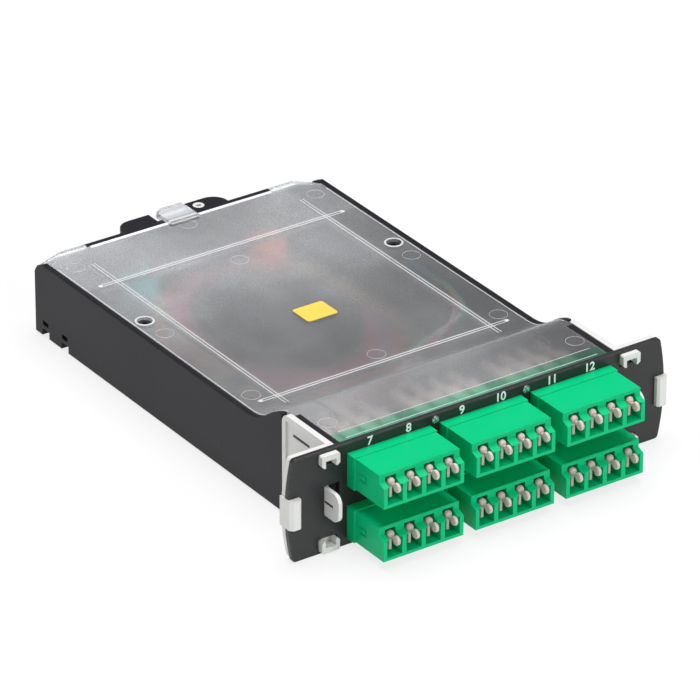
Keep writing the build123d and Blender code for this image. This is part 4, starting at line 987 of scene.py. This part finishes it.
@dataclass
class Lid(SubAssembly):
    """The frosted lid, its creases, rear lip, screw seats and mould marks, the last four pale to paint their
    highlights.
    """

    crease_x: float = 35.7
    crease_gap: float = 1.0
    crease_line: float = 0.48
    crease_height: float = 0.09
    crease_reach: float = 41.3
    crease_depths: tuple = (44.8, 125.6)
    crease_ends: tuple = (40.0, 138.6)
    stub_height: float = 0.22
    stub_round: tuple = (0.6, 0.8)
    stub_foot: float = 0.9
    cross_lines: tuple = ((3.4, 41.6, 0.5), (7.2, 41.8, 0.4))
    cross_height: float = 0.07
    edge_x: float = 45.9
    edge_width: float = 0.5
    edge_height: float = 0.06
    edge_ends: tuple = (24.5, 140.5)
    lip_behind: float = 147.2
    lip_reach: float = 31.0
    lip_width: float = 0.9
    lip_height: float = 0.35
    lip_flat: float = 0.45
    lip_foot: float = 0.06
    lip_round: float = 0.04
    mark_radius: float = 2.6
    mark_wire: float = 0.10
    mark_sink: float = 0.04
    mark_crown: float = 0.7
    seat_radius: float = 2.35
    seat_overlap: float = 0.1
    seat_rim: float = 0.50
    seat_round: float = 0.15
    seat_height: float = 0.16
    seat_shoulder: float = 0.7
    screws: tuple = ((-42.3, 101.2), (42.3, 101.2))
    marks: tuple = ((0, 143.7), (0, 117), (-41.6, 92), (42.0, 92), (-41.5, 49), (41.5, 49), (0, 49),
                    (-41, 139), (41, 139), (-41.0, 12.8), (41.0, 12.8))
    roof: RoofLine = field(default_factory=RoofLine)

    def dress(self) -> None:
        """Give the lid its finish and add its fine features."""
        self.dress_node("lid", FROST, "frosted_sheet")
        self.dress_node("lid_screws", DARK_STEEL, "dark_screw")
        self.dress_node("lid_label", YELLOW_FILM, "yellow_label")
        self._creases()
        self._rear_lip()
        self._marks()
        self._seats()

    def _creases(self) -> None:
        """Draw the double lines over the ribs and the lines along the lid's edges, pale strips that paint their
        highlights.
        """
        shape = bmesh.new()
        half = self.crease_line / 2
        offsets = (-self.crease_gap / 2, self.crease_gap / 2)
        for side in Side:
            for offset in offsets:
                x = side.value * self.crease_x + offset
                self.roof.add_strip(shape, (x - half, x + half), self.crease_ends, self.crease_height)
            edge = side.value * self.edge_x
            sides = (edge - self.edge_width / 2, edge + self.edge_width / 2)
            self.roof.add_strip(shape, sides, self.edge_ends, self.edge_height)
        for middle in self.crease_depths:
            for offset in offsets:
                self._cross(shape, middle + offset, self.crease_reach, self.crease_line, self.crease_height)
        for behind, reach, width in self.cross_lines:
            self._cross(shape, behind, reach, width, self.cross_height)
        self._stub_ends(shape)
        self.add_piece("lid_creases", shape, HIGHLIT_CLEAR, "frosted_sheet", smooth_angle=40.0)

    def _cross(self, shape: BMesh, behind: float, reach: float, width: float,
               height: float) -> None:
        """Add a raised line that crosses the lid.

        Args:
            shape: The shape that grows.
            behind: Depth of the line.
            reach: How far it reaches to each side.
            width: Its width.
            height: How far its ridge stands proud.
        """
        z = self.roof.height(behind)
        corners = ((behind - width / 2, z - SINK), (behind, z + height), (behind + width / 2, z - SINK))
        add_slab(shape, [place(-reach, depth, level) for depth, level in corners],
                 Vector((2 * reach * MM, 0, 0)))

    def _rear_lip(self) -> None:
        """Add the moulded lip along the lid's rear edge, in front of the black crest, near-white to paint the edge's
        highlight.
        """
        front, foot = self.lip_behind - self.lip_width / 2, self.roof.low - SINK
        corners = ((0.0, 0.0), (self.lip_width, 0.0), (self.lip_width, self.lip_height),
                   (self.lip_width * self.lip_flat, self.lip_height), (0.0, self.lip_foot))
        shape = slab([place(-self.lip_reach, front + y, foot + z) for y, z in corners],
                     Vector((2 * self.lip_reach * MM, 0, 0)), self.lip_round * MM)
        self.add_piece("lid_rear_lip", shape, HIGHLIT_LIP, "frosted_sheet", smooth_angle=40.0)

    def _stub_ends(self, shape: BMesh) -> None:
        """Round off the ends of the cross creases with low domes.

        Args:
            shape: The shape that grows.
        """
        radius = self.crease_gap / 2 + self.crease_line / 2
        out, up = self.stub_round
        dome = spun_profile([(0, self.stub_height), (radius * out, self.stub_height * up), (radius, 0.0),
                             (radius * self.stub_foot, -SINK), (0, -SINK)], 20)
        merge_into(shape, dome, upright_seats(
            place(side.value * self.crease_reach, behind, self.roof.height(behind))
            for behind in self.crease_depths for side in Side))

    def _marks(self) -> None:
        """Add the faint round marks that the mould's pins leave, pale to paint their highlights."""
        shape = bmesh.new()
        foot = (self.mark_radius - self.mark_wire, -self.mark_sink)
        ring = spun_profile([foot, (self.mark_radius, self.mark_wire * self.mark_crown),
                             (self.mark_radius + self.mark_wire, -self.mark_sink), foot], 40)
        merge_into(shape, ring, upright_seats(
            place(x, behind, self.roof.height(behind)) for x, behind in self.marks))
        self.add_piece("lid_mould_marks", shape, HIGHLIT_CLEAR, "frosted_sheet", smooth_angle=80.0)

    def _seats(self) -> None:
        """Add the raised clear rims round the two screws, pale to paint their highlights."""
        shape = bmesh.new()
        inner, outer = self.seat_radius - self.seat_overlap, self.seat_radius + self.seat_rim
        ring = spun_profile([(inner, -self.seat_overlap), (inner, self.seat_height * self.seat_shoulder),
                             (inner + self.seat_round, self.seat_height),
                             (outer - self.seat_round, self.seat_height), (outer, 0.0),
                             (outer, -self.seat_overlap), (inner, -self.seat_overlap)], 40)
        merge_into(shape, ring, upright_seats(place(x, behind, self.roof.low) for x, behind in self.screws))
        self.add_piece("lid_screw_rims", shape, HIGHLIT_CLEAR, "frosted_sheet", smooth_angle=50.0)


@dataclass
class DustPlug:
    """One soft plug: a cup over the sleeve, a blade with a thumb lobe and a round nub."""

    axis_rise: float = 3.5
    cup_radius: float = 2.12
    cup_inner: float = 1.62
    cup_face: float = -10.72
    cup_length: float = 4.2
    cup_rounds: tuple = ((0.35, 0.0), (0.1, 0.1), (0.0, 0.35))
    face_thickness: float = 1.0
    nub_rise: float = 3.05
    nub_radius: float = 1.15
    nub_front: float = -15.35
    nub_length: float = 2.2
    nub_rounds: tuple = ((0.45, 0.06), (0.80, 0.32), (0.97, 0.75), (1.0, 1.15), (0.92, 1.75))
    nub_end: float = 0.62
    lobe_y: float = -17.35
    lobe_rise: float = 2.45
    lobe_radius: float = 1.35
    lobe_swell: float = 1.04
    lobe_round: float = 0.18
    blade: float = 0.45
    blade_round: float = 0.12
    blade_foot: float = 0.8
    blade_grip: float = 0.5
    arm: float = 0.45
    arm_step: float = 0.3
    spine_setback: float = 0.9

    def build(self) -> BMesh:
        """Build the plug at x = 0 for an adapter that stands at z = 0.

        Returns:
            The shape.
        """
        shape = bmesh.new()
        face, end, radius = self.cup_face, self.cup_face + self.cup_length, self.cup_radius
        floor = face + self.face_thickness
        rounds = [(radius - inset, face + depth) for inset, depth in self.cup_rounds]
        cup = spun_profile([(0, face), *rounds, (radius, end), (self.cup_inner, end), (self.cup_inner, floor),
                            (0, floor)])
        merge_into(shape, cup, [Matrix.Translation(place(0, 0, self.axis_rise))])
        front, back = self.nub_front, self.nub_front + self.nub_length
        rounds = [(self.nub_radius * share, front + depth) for share, depth in self.nub_rounds]
        nub = spun_profile([(0, front), *rounds, (self.nub_radius * self.nub_end, back), (0, back)], 24)
        merge_into(shape, nub, [Matrix.Translation(place(0, 0, self.axis_rise + self.nub_rise))])
        self._add_blade(shape)
        return shape

    def _add_blade(self, shape: BMesh) -> None:
        """Add the upright blade, its arm and the lobe at the arm's end.

        Args:
            shape: The plug so far.
        """
        low = self.axis_rise - self.cup_radius * self.blade_foot
        lobe_z = self.axis_rise + self.lobe_rise
        nub_z = self.axis_rise + self.nub_rise
        root, spine = self.cup_face + self.blade_grip, self.nub_front + self.spine_setback
        corners = [(root, low), (spine, low), (spine, lobe_z - self.arm), (self.lobe_y, lobe_z - self.arm),
                   (self.lobe_y, lobe_z + self.arm), (spine + self.arm_step, lobe_z + self.arm),
                   (spine + self.arm_step, nub_z), (root, nub_z)]
        add_slab(shape, [place(-self.blade, y, z) for y, z in corners], Vector((2 * self.blade * MM, 0, 0)),
                 self.blade_round * MM)
        disc = bmesh.new()
        bmesh.ops.create_cone(disc, cap_ends=True, cap_tris=False, segments=28, radius1=self.lobe_radius * MM,
                              radius2=self.lobe_radius * MM, depth=2 * self.blade * MM * self.lobe_swell)
        bmesh.ops.rotate(disc, cent=(0, 0, 0), matrix=Matrix.Rotation(math.radians(90), 3, "Y"), verts=disc.verts)
        rim = [edge for edge in disc.edges if edge.calc_face_angle(0.0) > math.radians(60)]
        bmesh.ops.bevel(disc, geom=rim, offset=self.lobe_round * MM, segments=3, profile=0.5, affect="EDGES",
                        material=-1, clamp_overlap=True)
        merge_into(shape, disc, [Matrix.Translation(place(0, self.lobe_y, lobe_z))])


@dataclass
class AdapterRack(SubAssembly):
    """Six quad adapters with their plugs and the connectors behind them."""

    pitch: float = 6.25
    columns: dict = field(default_factory=lambda: {Column.LEFT: -30.1, Column.MIDDLE: 0.0, Column.RIGHT: 30.1})
    rows: dict = field(default_factory=lambda: {Row.LOWER: 2.5, Row.UPPER: 18.6})
    half_width: float = 13.075
    roof_height: float = 9.35
    lip_inset: float = 0.15
    lip_depths: tuple = (-14.2, -13.55)
    lip_thickness: float = 0.12
    lip_round: float = 0.04
    tab_depths: tuple = (-8.0, -5.4)
    tab_heights: tuple = (4.55, 5.45)
    tab_sink: float = 0.22
    tab_thickness: float = 0.26
    tab_round: float = 0.06
    plug: DustPlug = field(default_factory=DustPlug)

    def dress(self) -> None:
        """Dress the adapters and build their plugs and trims."""
        for row, z in self.rows.items():
            for column, x in self.columns.items():
                where = f"{row.value}_{column.value}"
                self.dress_node(f"adapter_{where}", GREEN_SHELL, "green_moulding")
                self._plugs(x, z, f"dust_plugs_{where}")
                self._trim(x, z, where)
            self.dress_node(f"inner_plugs_{row.value}", BEIGE_BODY, "beige_moulding")

    def _plugs(self, x: float, z: float, name: str) -> None:
        """Put a plug in each of the four ports of one adapter.

        Args:
            x: The adapter's middle.
            z: The adapter's foot.
            name: The node that the plugs replace.
        """
        shape = bmesh.new()
        offsets = [(index - 1.5) * self.pitch for index in range(4)]
        merge_into(shape, self.plug.build(),
                   [Matrix.Translation(Vector((x + offset, 0, z)) * MM) for offset in offsets])
        piece = self.add_piece(f"soft_{name}", shape, SOFT_PLUG, "soft_clear_plug")
        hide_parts(name)

    def _trim(self, x: float, z: float, name: str) -> None:
        """Add the moulded lines of one adapter: a lip across its roof and a tab on each side.

        Args:
            x: The adapter's middle.
            z: The adapter's foot.
            name: Which adapter it is.
        """
        shape = bmesh.new()
        reach, top = self.half_width - self.lip_inset, z + self.roof_height - SINK
        front, rear = self.lip_depths
        corners = ((x - reach, front), (x + reach, front), (x + reach, rear), (x - reach, rear))
        add_slab(shape, [place(across, depth, top) for across, depth in corners],
                 Vector((0, 0, self.lip_thickness * MM)), self.lip_round * MM)
        (front, rear), (low, high) = self.tab_depths, self.tab_heights
        for side in Side:
            face = x + side.value * (self.half_width - self.tab_sink)
            corners = ((front, low), (rear, low), (rear, high), (front, high))
            add_slab(shape, [place(face, depth, z + rise) for depth, rise in corners],
                     Vector((side.value * self.tab_thickness * MM, 0, 0)), self.tab_round * MM)
        self.add_piece(f"adapter_trim_{name}", shape, GREEN_SHELL, "green_moulding")


@dataclass
class PortNumber:
    """One printed number above the upper row."""

    text: str
    x: float


@dataclass
class Faceplate(SubAssembly):
    """The black plate with its printed numbers and bright studs."""

    numbers: tuple = (PortNumber("7", -36.2), PortNumber("8", -23.6), PortNumber("9", -6.1),
                      PortNumber("10", 6.7), PortNumber("11", 23.9), PortNumber("12", 36.6))
    number_height: float = 2.6
    number_z: float = 29.7
    cap_share: float = 0.72
    ink_thickness: float = 0.02
    ink_spread: float = 0.08
    ink_lift: float = 0.015

    def dress(self) -> None:
        """Give the plate its finish, numbers and studs."""
        self.dress_node("faceplate", BLACK_PLATE, "black_moulding")
        self.dress_node("faceplate_studs", BRIGHT_STEEL, "bright_stud")
        for number in self.numbers:
            self._print(number)

    def _print(self, number: PortNumber) -> None:
        """Print one number on the plate as a thin film of ink.

        Args:
            number: Which number, and where.
        """
        curve = bpy.data.curves.new(f"ink_{number.text}", "FONT")
        curve.body = number.text
        curve.size = self.number_height * MM / self.cap_share
        curve.align_x = "CENTER"
        curve.align_y = "CENTER"
        curve.extrude = self.ink_thickness * MM
        curve.offset = self.ink_spread * MM
        shape = curve_shape(curve)
        stand = Matrix.Translation(place(number.x, -self.ink_lift, self.number_z)) @ UPRIGHT
        bmesh.ops.transform(shape, matrix=stand, verts=shape.verts)
        self.add_piece(f"port_number_{number.text}", shape, WHITE_INK, "white_moulding")


@dataclass
class SideLatches(SubAssembly):
    """The white brackets and the squeeze levers that turn on them."""

    arm_outer: float = 47.5
    arm_shade_depth: float = 0.5
    arm_slit: tuple = ((11.9, 25.5), (11.9, 26.2), (19.5, 26.05), (19.5, 25.65))
    arm_round: float = 0.03
    lever_slit: tuple = ((-3.9, 0.14), (0.1, 0.52))
    lever_x: float = 50.2
    lever_z: float = 15.8
    lever_shade_half: float = 0.42
    lever_round: float = 0.02

    def dress(self) -> None:
        """Dress both sides and fill their slits with dark wedges of painted shade."""
        for side in Side:
            self.dress_node(f"bracket_{side.label}", WHITE_SHELL, "white_moulding")
            self.dress_node(f"release_lever_{side.label}", WHITE_SHELL, "white_moulding")
            self._shade_arm_slit(side)
            self._shade_lever_slit(side)

    def _shade_arm_slit(self, side: Side) -> None:
        """Fill the slit of one bracket's arm with a dark wedge that stands for the black neck wall seen through the
        slit and paints the shade inside it.

        Args:
            side: Which side it is on.
        """
        outline = [place(side.value * self.arm_outer, behind, z) for behind, z in self.arm_slit]
        # A dark wedge: the black wall behind the slit, and painted shade inside it.
        shape = slab(outline, Vector((-side.value * self.arm_shade_depth * MM, 0, 0)), self.arm_round * MM)
        self.add_piece(f"arm_slit_liner_{side.label}", shape, BLACK_INNER, "black_moulding")

    def _shade_lever_slit(self, side: Side) -> None:
        """Fill the slit of one lever with a dark wedge of painted shade, widest at the plate.

        Args:
            side: Which side it is on.
        """
        (tip, thin), (root, thick) = self.lever_slit
        face = side.value * (self.lever_x + self.lever_shade_half)
        outline = [place(face, behind, self.lever_z + rise)
                   for behind, rise in ((tip, -thin), (root, -thick), (root, thick), (tip, thin))]
        # A dark wedge that paints the shade inside the lever's slit.
        shape = slab(outline, Vector((-2 * side.value * self.lever_shade_half * MM, 0, 0)), self.lever_round * MM)
        self.add_piece(f"lever_slit_liner_{side.label}", shape, BLACK_INNER, "black_moulding",
                       f"lever_{side.label}")


@dataclass
class TrunkPorts(SubAssembly):
    """The two trunk adapters in the rear wall and their inner connectors."""

    adapter_finish: Finish = BLACK_INNER
    connector_finish: Finish = TRUNK_BODY

    def dress(self) -> None:
        """Dress the rear adapters and the connectors inside."""
        for side in Side:
            self.dress_node(f"trunk_adapter_{side.label}", self.adapter_finish, "black_moulding")
        self.dress_node("trunk_plugs", self.connector_finish, "aqua_moulding")


def new_tube_curve(name: str, radius: float) -> Curve:
    """Start a curve that draws a round tube.

    Args:
        name: Its name.
        radius: The tube's radius in metres.

    Returns:
        The curve.
    """
    curve = bpy.data.curves.new(name, "CURVE")
    curve.dimensions = "3D"
    curve.bevel_depth = radius
    curve.bevel_resolution = 1
    curve.resolution_u = 6
    curve.use_fill_caps = True
    return curve


def add_spline(curve: Curve, points: Sequence[Vector], closed: bool) -> None:
    """Add a smooth line to a curve.

    Args:
        curve: The curve that grows.
        points: Control points in metres.
        closed: Whether it runs in a loop.
    """
    spline = curve.splines.new("NURBS")
    spline.points.add(len(points) - 1)
    for target, source in zip(spline.points, points):
        target.co = (*source, 1.0)
    spline.order_u = 3
    spline.use_cyclic_u = closed
    spline.use_endpoint_u = not closed


def curve_shape(curve: Curve) -> BMesh:
    """Turn a curve or a text into a shape.

    Args:
        curve: The curve.

    Returns:
        Its mesh, where the curve lies.
    """
    holder = bpy.data.objects.new(curve.name + "_line", curve)
    bpy.context.scene.collection.objects.link(holder)
    bpy.context.view_layer.update()
    mesh = bpy.data.meshes.new_from_object(holder)
    bpy.data.objects.remove(holder)
    shape = bmesh.new()
    shape.from_mesh(mesh)
    bpy.data.meshes.remove(mesh)
    return shape


@dataclass
class CoilSpec:
    """One coil bundle of the store."""

    node: str
    slot: str
    colours: tuple


@dataclass
class FibreStore(SubAssembly):
    """The spool and the coils round it."""

    middle: float = 98.0
    straight: float = 14.0
    radius: float = 17.0
    width: float = 3.4
    gap: float = 0.3
    low: float = 2.9
    height: float = 5.6
    tube: float = 0.48
    turns: int = 9
    corners: int = 16
    swell: float = 1.02
    waver: float = 0.15
    seed: int = 7
    coils: tuple = (
        CoilSpec("fibre_coil_green", "green_fibre", ("green", "white")),
        CoilSpec("fibre_coil_red", "red_fibre", ("red", "rose")),
        CoilSpec("fibre_coil_blue", "blue_fibre", ("blue", "rose")),
        CoilSpec("fibre_coil_orange", "orange_fibre", ("orange", "red")),
    )

    def dress(self) -> None:
        """Dress the spool and wind the coils."""
        self.dress_node("fibre_spool", BLACK_INNER, "black_moulding")
        draw = random.Random(self.seed)
        for index, coil in enumerate(self.coils):
            self._wind(coil, index, draw)

    def _wind(self, coil: CoilSpec, index: int, draw: random.Random) -> None:
        """Wind one bundle of loops in the room of its solid.

        Args:
            coil: Which bundle it is.
            index: Its place from the spool outwards.
            draw: The source of its small unevenness.
        """
        inner = self.radius + self.gap + index * (self.width + self.gap)
        layer = (self.height - 2 * self.tube) / (2 * self.turns)
        curves = []
        for share, colour in enumerate(coil.colours):
            curve = new_tube_curve(f"{coil.node}_{colour}", self.tube * MM)
            for turn in range(self.turns):
                reach = inner + self.tube + draw.random() * (self.width - 2 * self.tube)
                height = self.low + self.tube + (turn * 2 + share) * layer
                add_spline(curve, self._loop(reach, height, draw), closed=True)
            curves.append((curve, colour))
        for share, (curve, colour) in enumerate(curves):
            piece = self.add_tube(curve, JACKETS[colour], coil.slot)
            if share == 0:
                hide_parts(coil.node)

    def _loop(self, reach: float, height: float, draw: random.Random) -> list:
        """Lay the control points of one loop round the spool.

        Args:
            reach: The loop's radius.
            height: Its height.
            draw: The source of its small unevenness.

        Returns:
            The points, in metres.
        """
        points = []
        for corner in range(self.corners):
            angle = math.tau * corner / self.corners
            side = math.copysign(self.straight / 2, math.sin(angle + 1e-6))
            points.append(place(math.cos(angle) * reach * self.swell,
                                self.middle + math.sin(angle) * reach * self.swell + side,
                                height + draw.uniform(-self.waver, self.waver)))
        return points


@dataclass(frozen=True)
class Fan:
    """The four leads of one adapter, and the bundle that they join."""

    column: float
    row: float
    gather: float
    lane: float
    end: int


@dataclass
class FibreLeads(SubAssembly):
    """The thin leads from the connectors' boots to the two trunk connectors."""

    boot_tip: float = 28.3
    boot_grip: float = 0.5
    boot_run: float = 1.0
    low_row: float = 6.0
    high_row: float = 22.1
    column: float = 30.1
    pitch: float = 6.25
    gather: float = 40.9
    gather_z: float = 10.9
    gather_inset: float = 1.8
    gather_share: float = 0.3
    middle_gather: float = 4.0
    lane_pitch: float = 1.05
    bundle_z: float = 9.3
    outer_lane: float = 30.2
    inner_lane: float = 27.0
    settle: float = 55.9
    lane_depths: tuple = (72.0, 84.0, 105.0)
    turn: float = 118.2
    trunk_tip: float = 128.5
    trunk_run: float = 3.0
    trunk_x: float = 22.0
    trunk_z: float = 10.2
    trunk_spread: float = 0.85
    trunk_shares: tuple = (0.9, 0.8)
    bundle_radius: float = 0.46
    tube: float = 0.32
    loose_tube: float = 0.50
    loose_colours: tuple = ("rose", "violet", "yellow", "aqua")
    loose_pitch: float = 0.95
    loose_start: tuple = ((30.5, 112.0, 9.4), (36.0, 111.0, 12.0))
    wall_x: float = 44.4
    wall_stagger: float = 0.3
    wall_rise: float = 0.3
    wall_route: tuple = ((-1.5, 104.0, 15.5), (0.0, 94.0, 17.0), (0.0, 84.0, 17.2), (-1.2, 74.0, 18.6))
    bow_route: tuple = ((38.0, 1.0, 61.0, -1.0, 19.2), (27.0, 0.6, 54.5, 1.0, 19.0), (14.0, 0.0, 51.5, 1.3, 17.4),
                        (5.5, 1.0, 46.0, 0.0, 13.6), (4.5, 1.0, 41.5, 0.0, 11.3))
    sleeve_radius: float = 0.95
    sleeve_z: float = 17.1
    sleeve_depths: tuple = (82.5, 86.0, 92.0, 97.0)

    def dress(self) -> None:
        """Lay the leads of both sides and the loose fibres along the right wall."""
        for side, middle_row in ((Side.RIGHT, self.high_row), (Side.LEFT, self.low_row)):
            self._lay_side(side, middle_row)
        self._lay_loose()

    def _lay_side(self, side: Side, middle_row: float) -> None:
        """Lay the twelve leads of one side in their twelve colours.

        Args:
            side: Which side it is.
            middle_row: Height of the middle adapter's connectors that go this way.
        """
        outer = self.column - self.gather_inset
        fans = (Fan(self.column, self.low_row, outer, self.outer_lane, 1),
                Fan(self.column, self.high_row, outer, self.outer_lane, 1),
                Fan(0.0, middle_row, self.middle_gather, self.inner_lane, -1))
        colours = iter(JACKETS)
        name = side.label
        for layer, fan in enumerate(fans):
            for index in range(4):
                colour = next(colours)
                angle = math.tau * (index + 0.5 * layer) / 4
                aside = Vector((side.value * math.cos(angle), 0.0, math.sin(angle))) * self.bundle_radius
                points = [place(side.value * x, behind, z) + aside * share * MM
                          for x, behind, z, share in self._route(fan, index - 1.5)]
                curve = new_tube_curve(f"lead_{name}_{colour}", self.tube * MM)
                add_spline(curve, points, closed=False)
                piece = self.add_tube(curve, JACKETS[colour], "orange_fibre")
                if layer == 0 and index == 0:
                    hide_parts(f"fibre_leads_{name}")

    def _route(self, fan: Fan, step: float) -> list:
        """List the places that one lead passes, with how far it is spread in its bundle.

        Args:
            fan: The fan that it belongs to.
            step: Its place in the fan, in steps from the middle.

        Returns:
            Place, depth, height and share of the bundle's radius, one by one.
        """
        x = fan.column + step * self.pitch
        end_x = self.trunk_x + fan.end * self.trunk_spread
        near_end, at_end = self.trunk_shares
        lanes = [(fan.lane, depth, self.bundle_z, 1.0) for depth in self.lane_depths]
        return [(x, self.boot_tip - self.boot_grip, fan.row, 0.0), (x, self.boot_tip + self.boot_run, fan.row, 0.0),
                (fan.gather + step * self.lane_pitch, self.gather, self.gather_z, self.gather_share),
                ((fan.gather + 3 * fan.lane) / 4, self.settle, self.bundle_z, 1.0), *lanes,
                ((end_x + fan.lane) / 2, self.turn, (self.bundle_z + self.trunk_z) / 2, 1.0),
                (end_x, self.trunk_tip - self.trunk_run, self.trunk_z, near_end),
                (end_x, self.trunk_tip, self.trunk_z, at_end)]

    def _lay_loose(self) -> None:
        """Lay the fibres that run high along the right wall, and the splice sleeve round them."""
        for index, colour in enumerate(self.loose_colours):
            spread = (index - 1.5) * self.loose_pitch
            wall = self.wall_x + (index % 2 - 0.5) * self.wall_stagger
            points = [place(*point) for point in self.loose_start]
            points += [place(wall + x, behind, z + spread * self.wall_rise) for x, behind, z in self.wall_route]
            points += [place(x + spread * aside, behind + spread * back, z)
                       for x, aside, behind, back, z in self.bow_route]
            curve = new_tube_curve(f"loose_{colour}", self.loose_tube * MM)
            add_spline(curve, points, closed=False)
            self.add_tube(curve, JACKETS[colour], "orange_fibre")
        sleeve = new_tube_curve("splice_sleeve", self.sleeve_radius * MM)
        add_spline(sleeve, [place(self.wall_x, behind, self.sleeve_z) for behind in self.sleeve_depths],
                   closed=False)
        self.add_tube(sleeve, SLEEVE_FILM, "blue_fibre")


@dataclass(frozen=True)
class LampSpec:
    """One soft square lamp, in metres and watts."""

    name: str
    where: tuple
    size: float
    power: float


@dataclass
class Studio:
    """The pale floor, the soft lamps, the world and the camera."""

    azimuth: float = 34.68
    elevation: float = 28.39
    roll: float = 0.216
    lens: float = 305.33
    sensor: float = 36.0
    clip: tuple = (0.05, 30.0)
    camera_place: tuple = (-824.9, -1130.4, 802.1)
    lamps: tuple = (LampSpec("key_lamp", (0.05, 0.1, 1.45), 1.2, 24.0),
                    LampSpec("fill_lamp", (-0.95, -0.45, 0.36), 0.6, 0.58),
                    LampSpec("front_lamp", (0.25, -1.45, 0.55), 0.8, 8.4))
    ambient: float = 0.20
    ambient_colour: tuple = (0.96, 0.98, 1.0)
    floor_size: float = 4.0
    floor_drop: float = 0.00005
    floor_colour: tuple = (0.86, 0.86, 0.86)
    floor_glow: float = 0.78

    def build(self) -> None:
        """Set up everything that isn't the part."""
        self._world()
        self._floor()
        for lamp in self.lamps:
            self._hang(lamp)
        self._camera()
        bpy.context.scene.view_settings.view_transform = "Standard"

    def _hang(self, spec: LampSpec) -> None:
        """Hang a lamp that looks at the part.

        Args:
            spec: Which lamp it is, and where.
        """
        data = bpy.data.lights.new(spec.name, "AREA")
        data.shape = "SQUARE"
        data.size = spec.size
        data.energy = spec.power
        lamp = bpy.data.objects.new(spec.name, data)
        lamp.location = spec.where
        lamp.rotation_euler = (-Vector(spec.where)).to_track_quat("-Z", "Y").to_euler()
        bpy.context.scene.collection.objects.link(lamp)

    def _camera(self) -> None:
        """Stand the camera where the photograph was taken from."""
        data = bpy.data.cameras.new("camera")
        data.sensor_width = self.sensor
        data.lens = self.lens
        data.clip_start, data.clip_end = self.clip
        camera = bpy.data.objects.new("camera", data)
        camera.location = place(*self.camera_place)
        turns = ((-self.azimuth, "Z"), (90 - self.elevation, "X"), (self.roll, "Z"))
        aim = Matrix.Identity(4)
        for degrees, axis in turns:
            aim = aim @ Matrix.Rotation(math.radians(degrees), 4, axis)
        camera.rotation_euler = aim.to_euler()
        bpy.context.scene.collection.objects.link(camera)
        bpy.context.scene.camera = camera

    def _world(self) -> None:
        """A white surround for the eye and through glass, and plain ambient light for the rest."""
        world = bpy.data.worlds.new("studio")
        bpy.context.scene.world = world
        board = NodeBoard.cleared(world)
        seen, light = board.add("ShaderNodeBackground"), board.add("ShaderNodeBackground")
        board.feed(seen.inputs["Color"], (1.0, 1.0, 1.0))
        board.feed(light.inputs["Color"], self.ambient_colour)
        board.feed(light.inputs["Strength"], self.ambient)
        path = board.add("ShaderNodeLightPath")
        direct = board.math("MAXIMUM", path.outputs["Is Camera Ray"], path.outputs["Is Transmission Ray"])
        board.join(board.blend(direct, light, seen), board.add("ShaderNodeOutputWorld").inputs["Surface"])

    def _floor(self) -> None:
        """A pale floor that shows white and keeps a soft shadow."""
        shape = bmesh.new()
        bmesh.ops.create_grid(shape, x_segments=4, y_segments=4, size=self.floor_size)
        mesh = bpy.data.meshes.new("floor")
        shape.to_mesh(mesh)
        shape.free()
        floor = bpy.data.objects.new("floor", mesh)
        floor.location = (0.0, 0.0, -self.floor_drop)
        bpy.context.scene.collection.objects.link(floor)
        material = bpy.data.materials.new("pale_floor")
        board = NodeBoard.cleared(material)
        matt, glow = board.add("ShaderNodeBsdfDiffuse"), board.add("ShaderNodeEmission")
        board.feed(matt.inputs["Color"], self.floor_colour)
        board.feed(glow.inputs["Color"], (1.0, 1.0, 1.0))
        board.feed(glow.inputs["Strength"], 1.0)
        path = board.add("ShaderNodeLightPath")
        direct = board.math("MAXIMUM", path.outputs["Is Camera Ray"], path.outputs["Is Glossy Ray"])
        direct = board.math("MAXIMUM", direct, path.outputs["Is Transmission Ray"])
        shown = board.blend(board.math("MULTIPLY", direct, self.floor_glow), matt, glow)
        board.join(shown, board.add("ShaderNodeOutputMaterial").inputs["Surface"])
        mesh.materials.append(material)


def main() -> None:
    """Build the studio and every sub-assembly."""
    logging.basicConfig(level=logging.INFO, format="%(name)s %(message)s")
    Studio().build()
    palette = Palette(ShaderKit())
    for kind in (Tray, Lid, Faceplate, AdapterRack, SideLatches, TrunkPorts, FibreStore, FibreLeads):
        LOG.info("assembling %s", kind.__name__)
        kind(palette).dress()


if __name__ == "__main__":
    main()
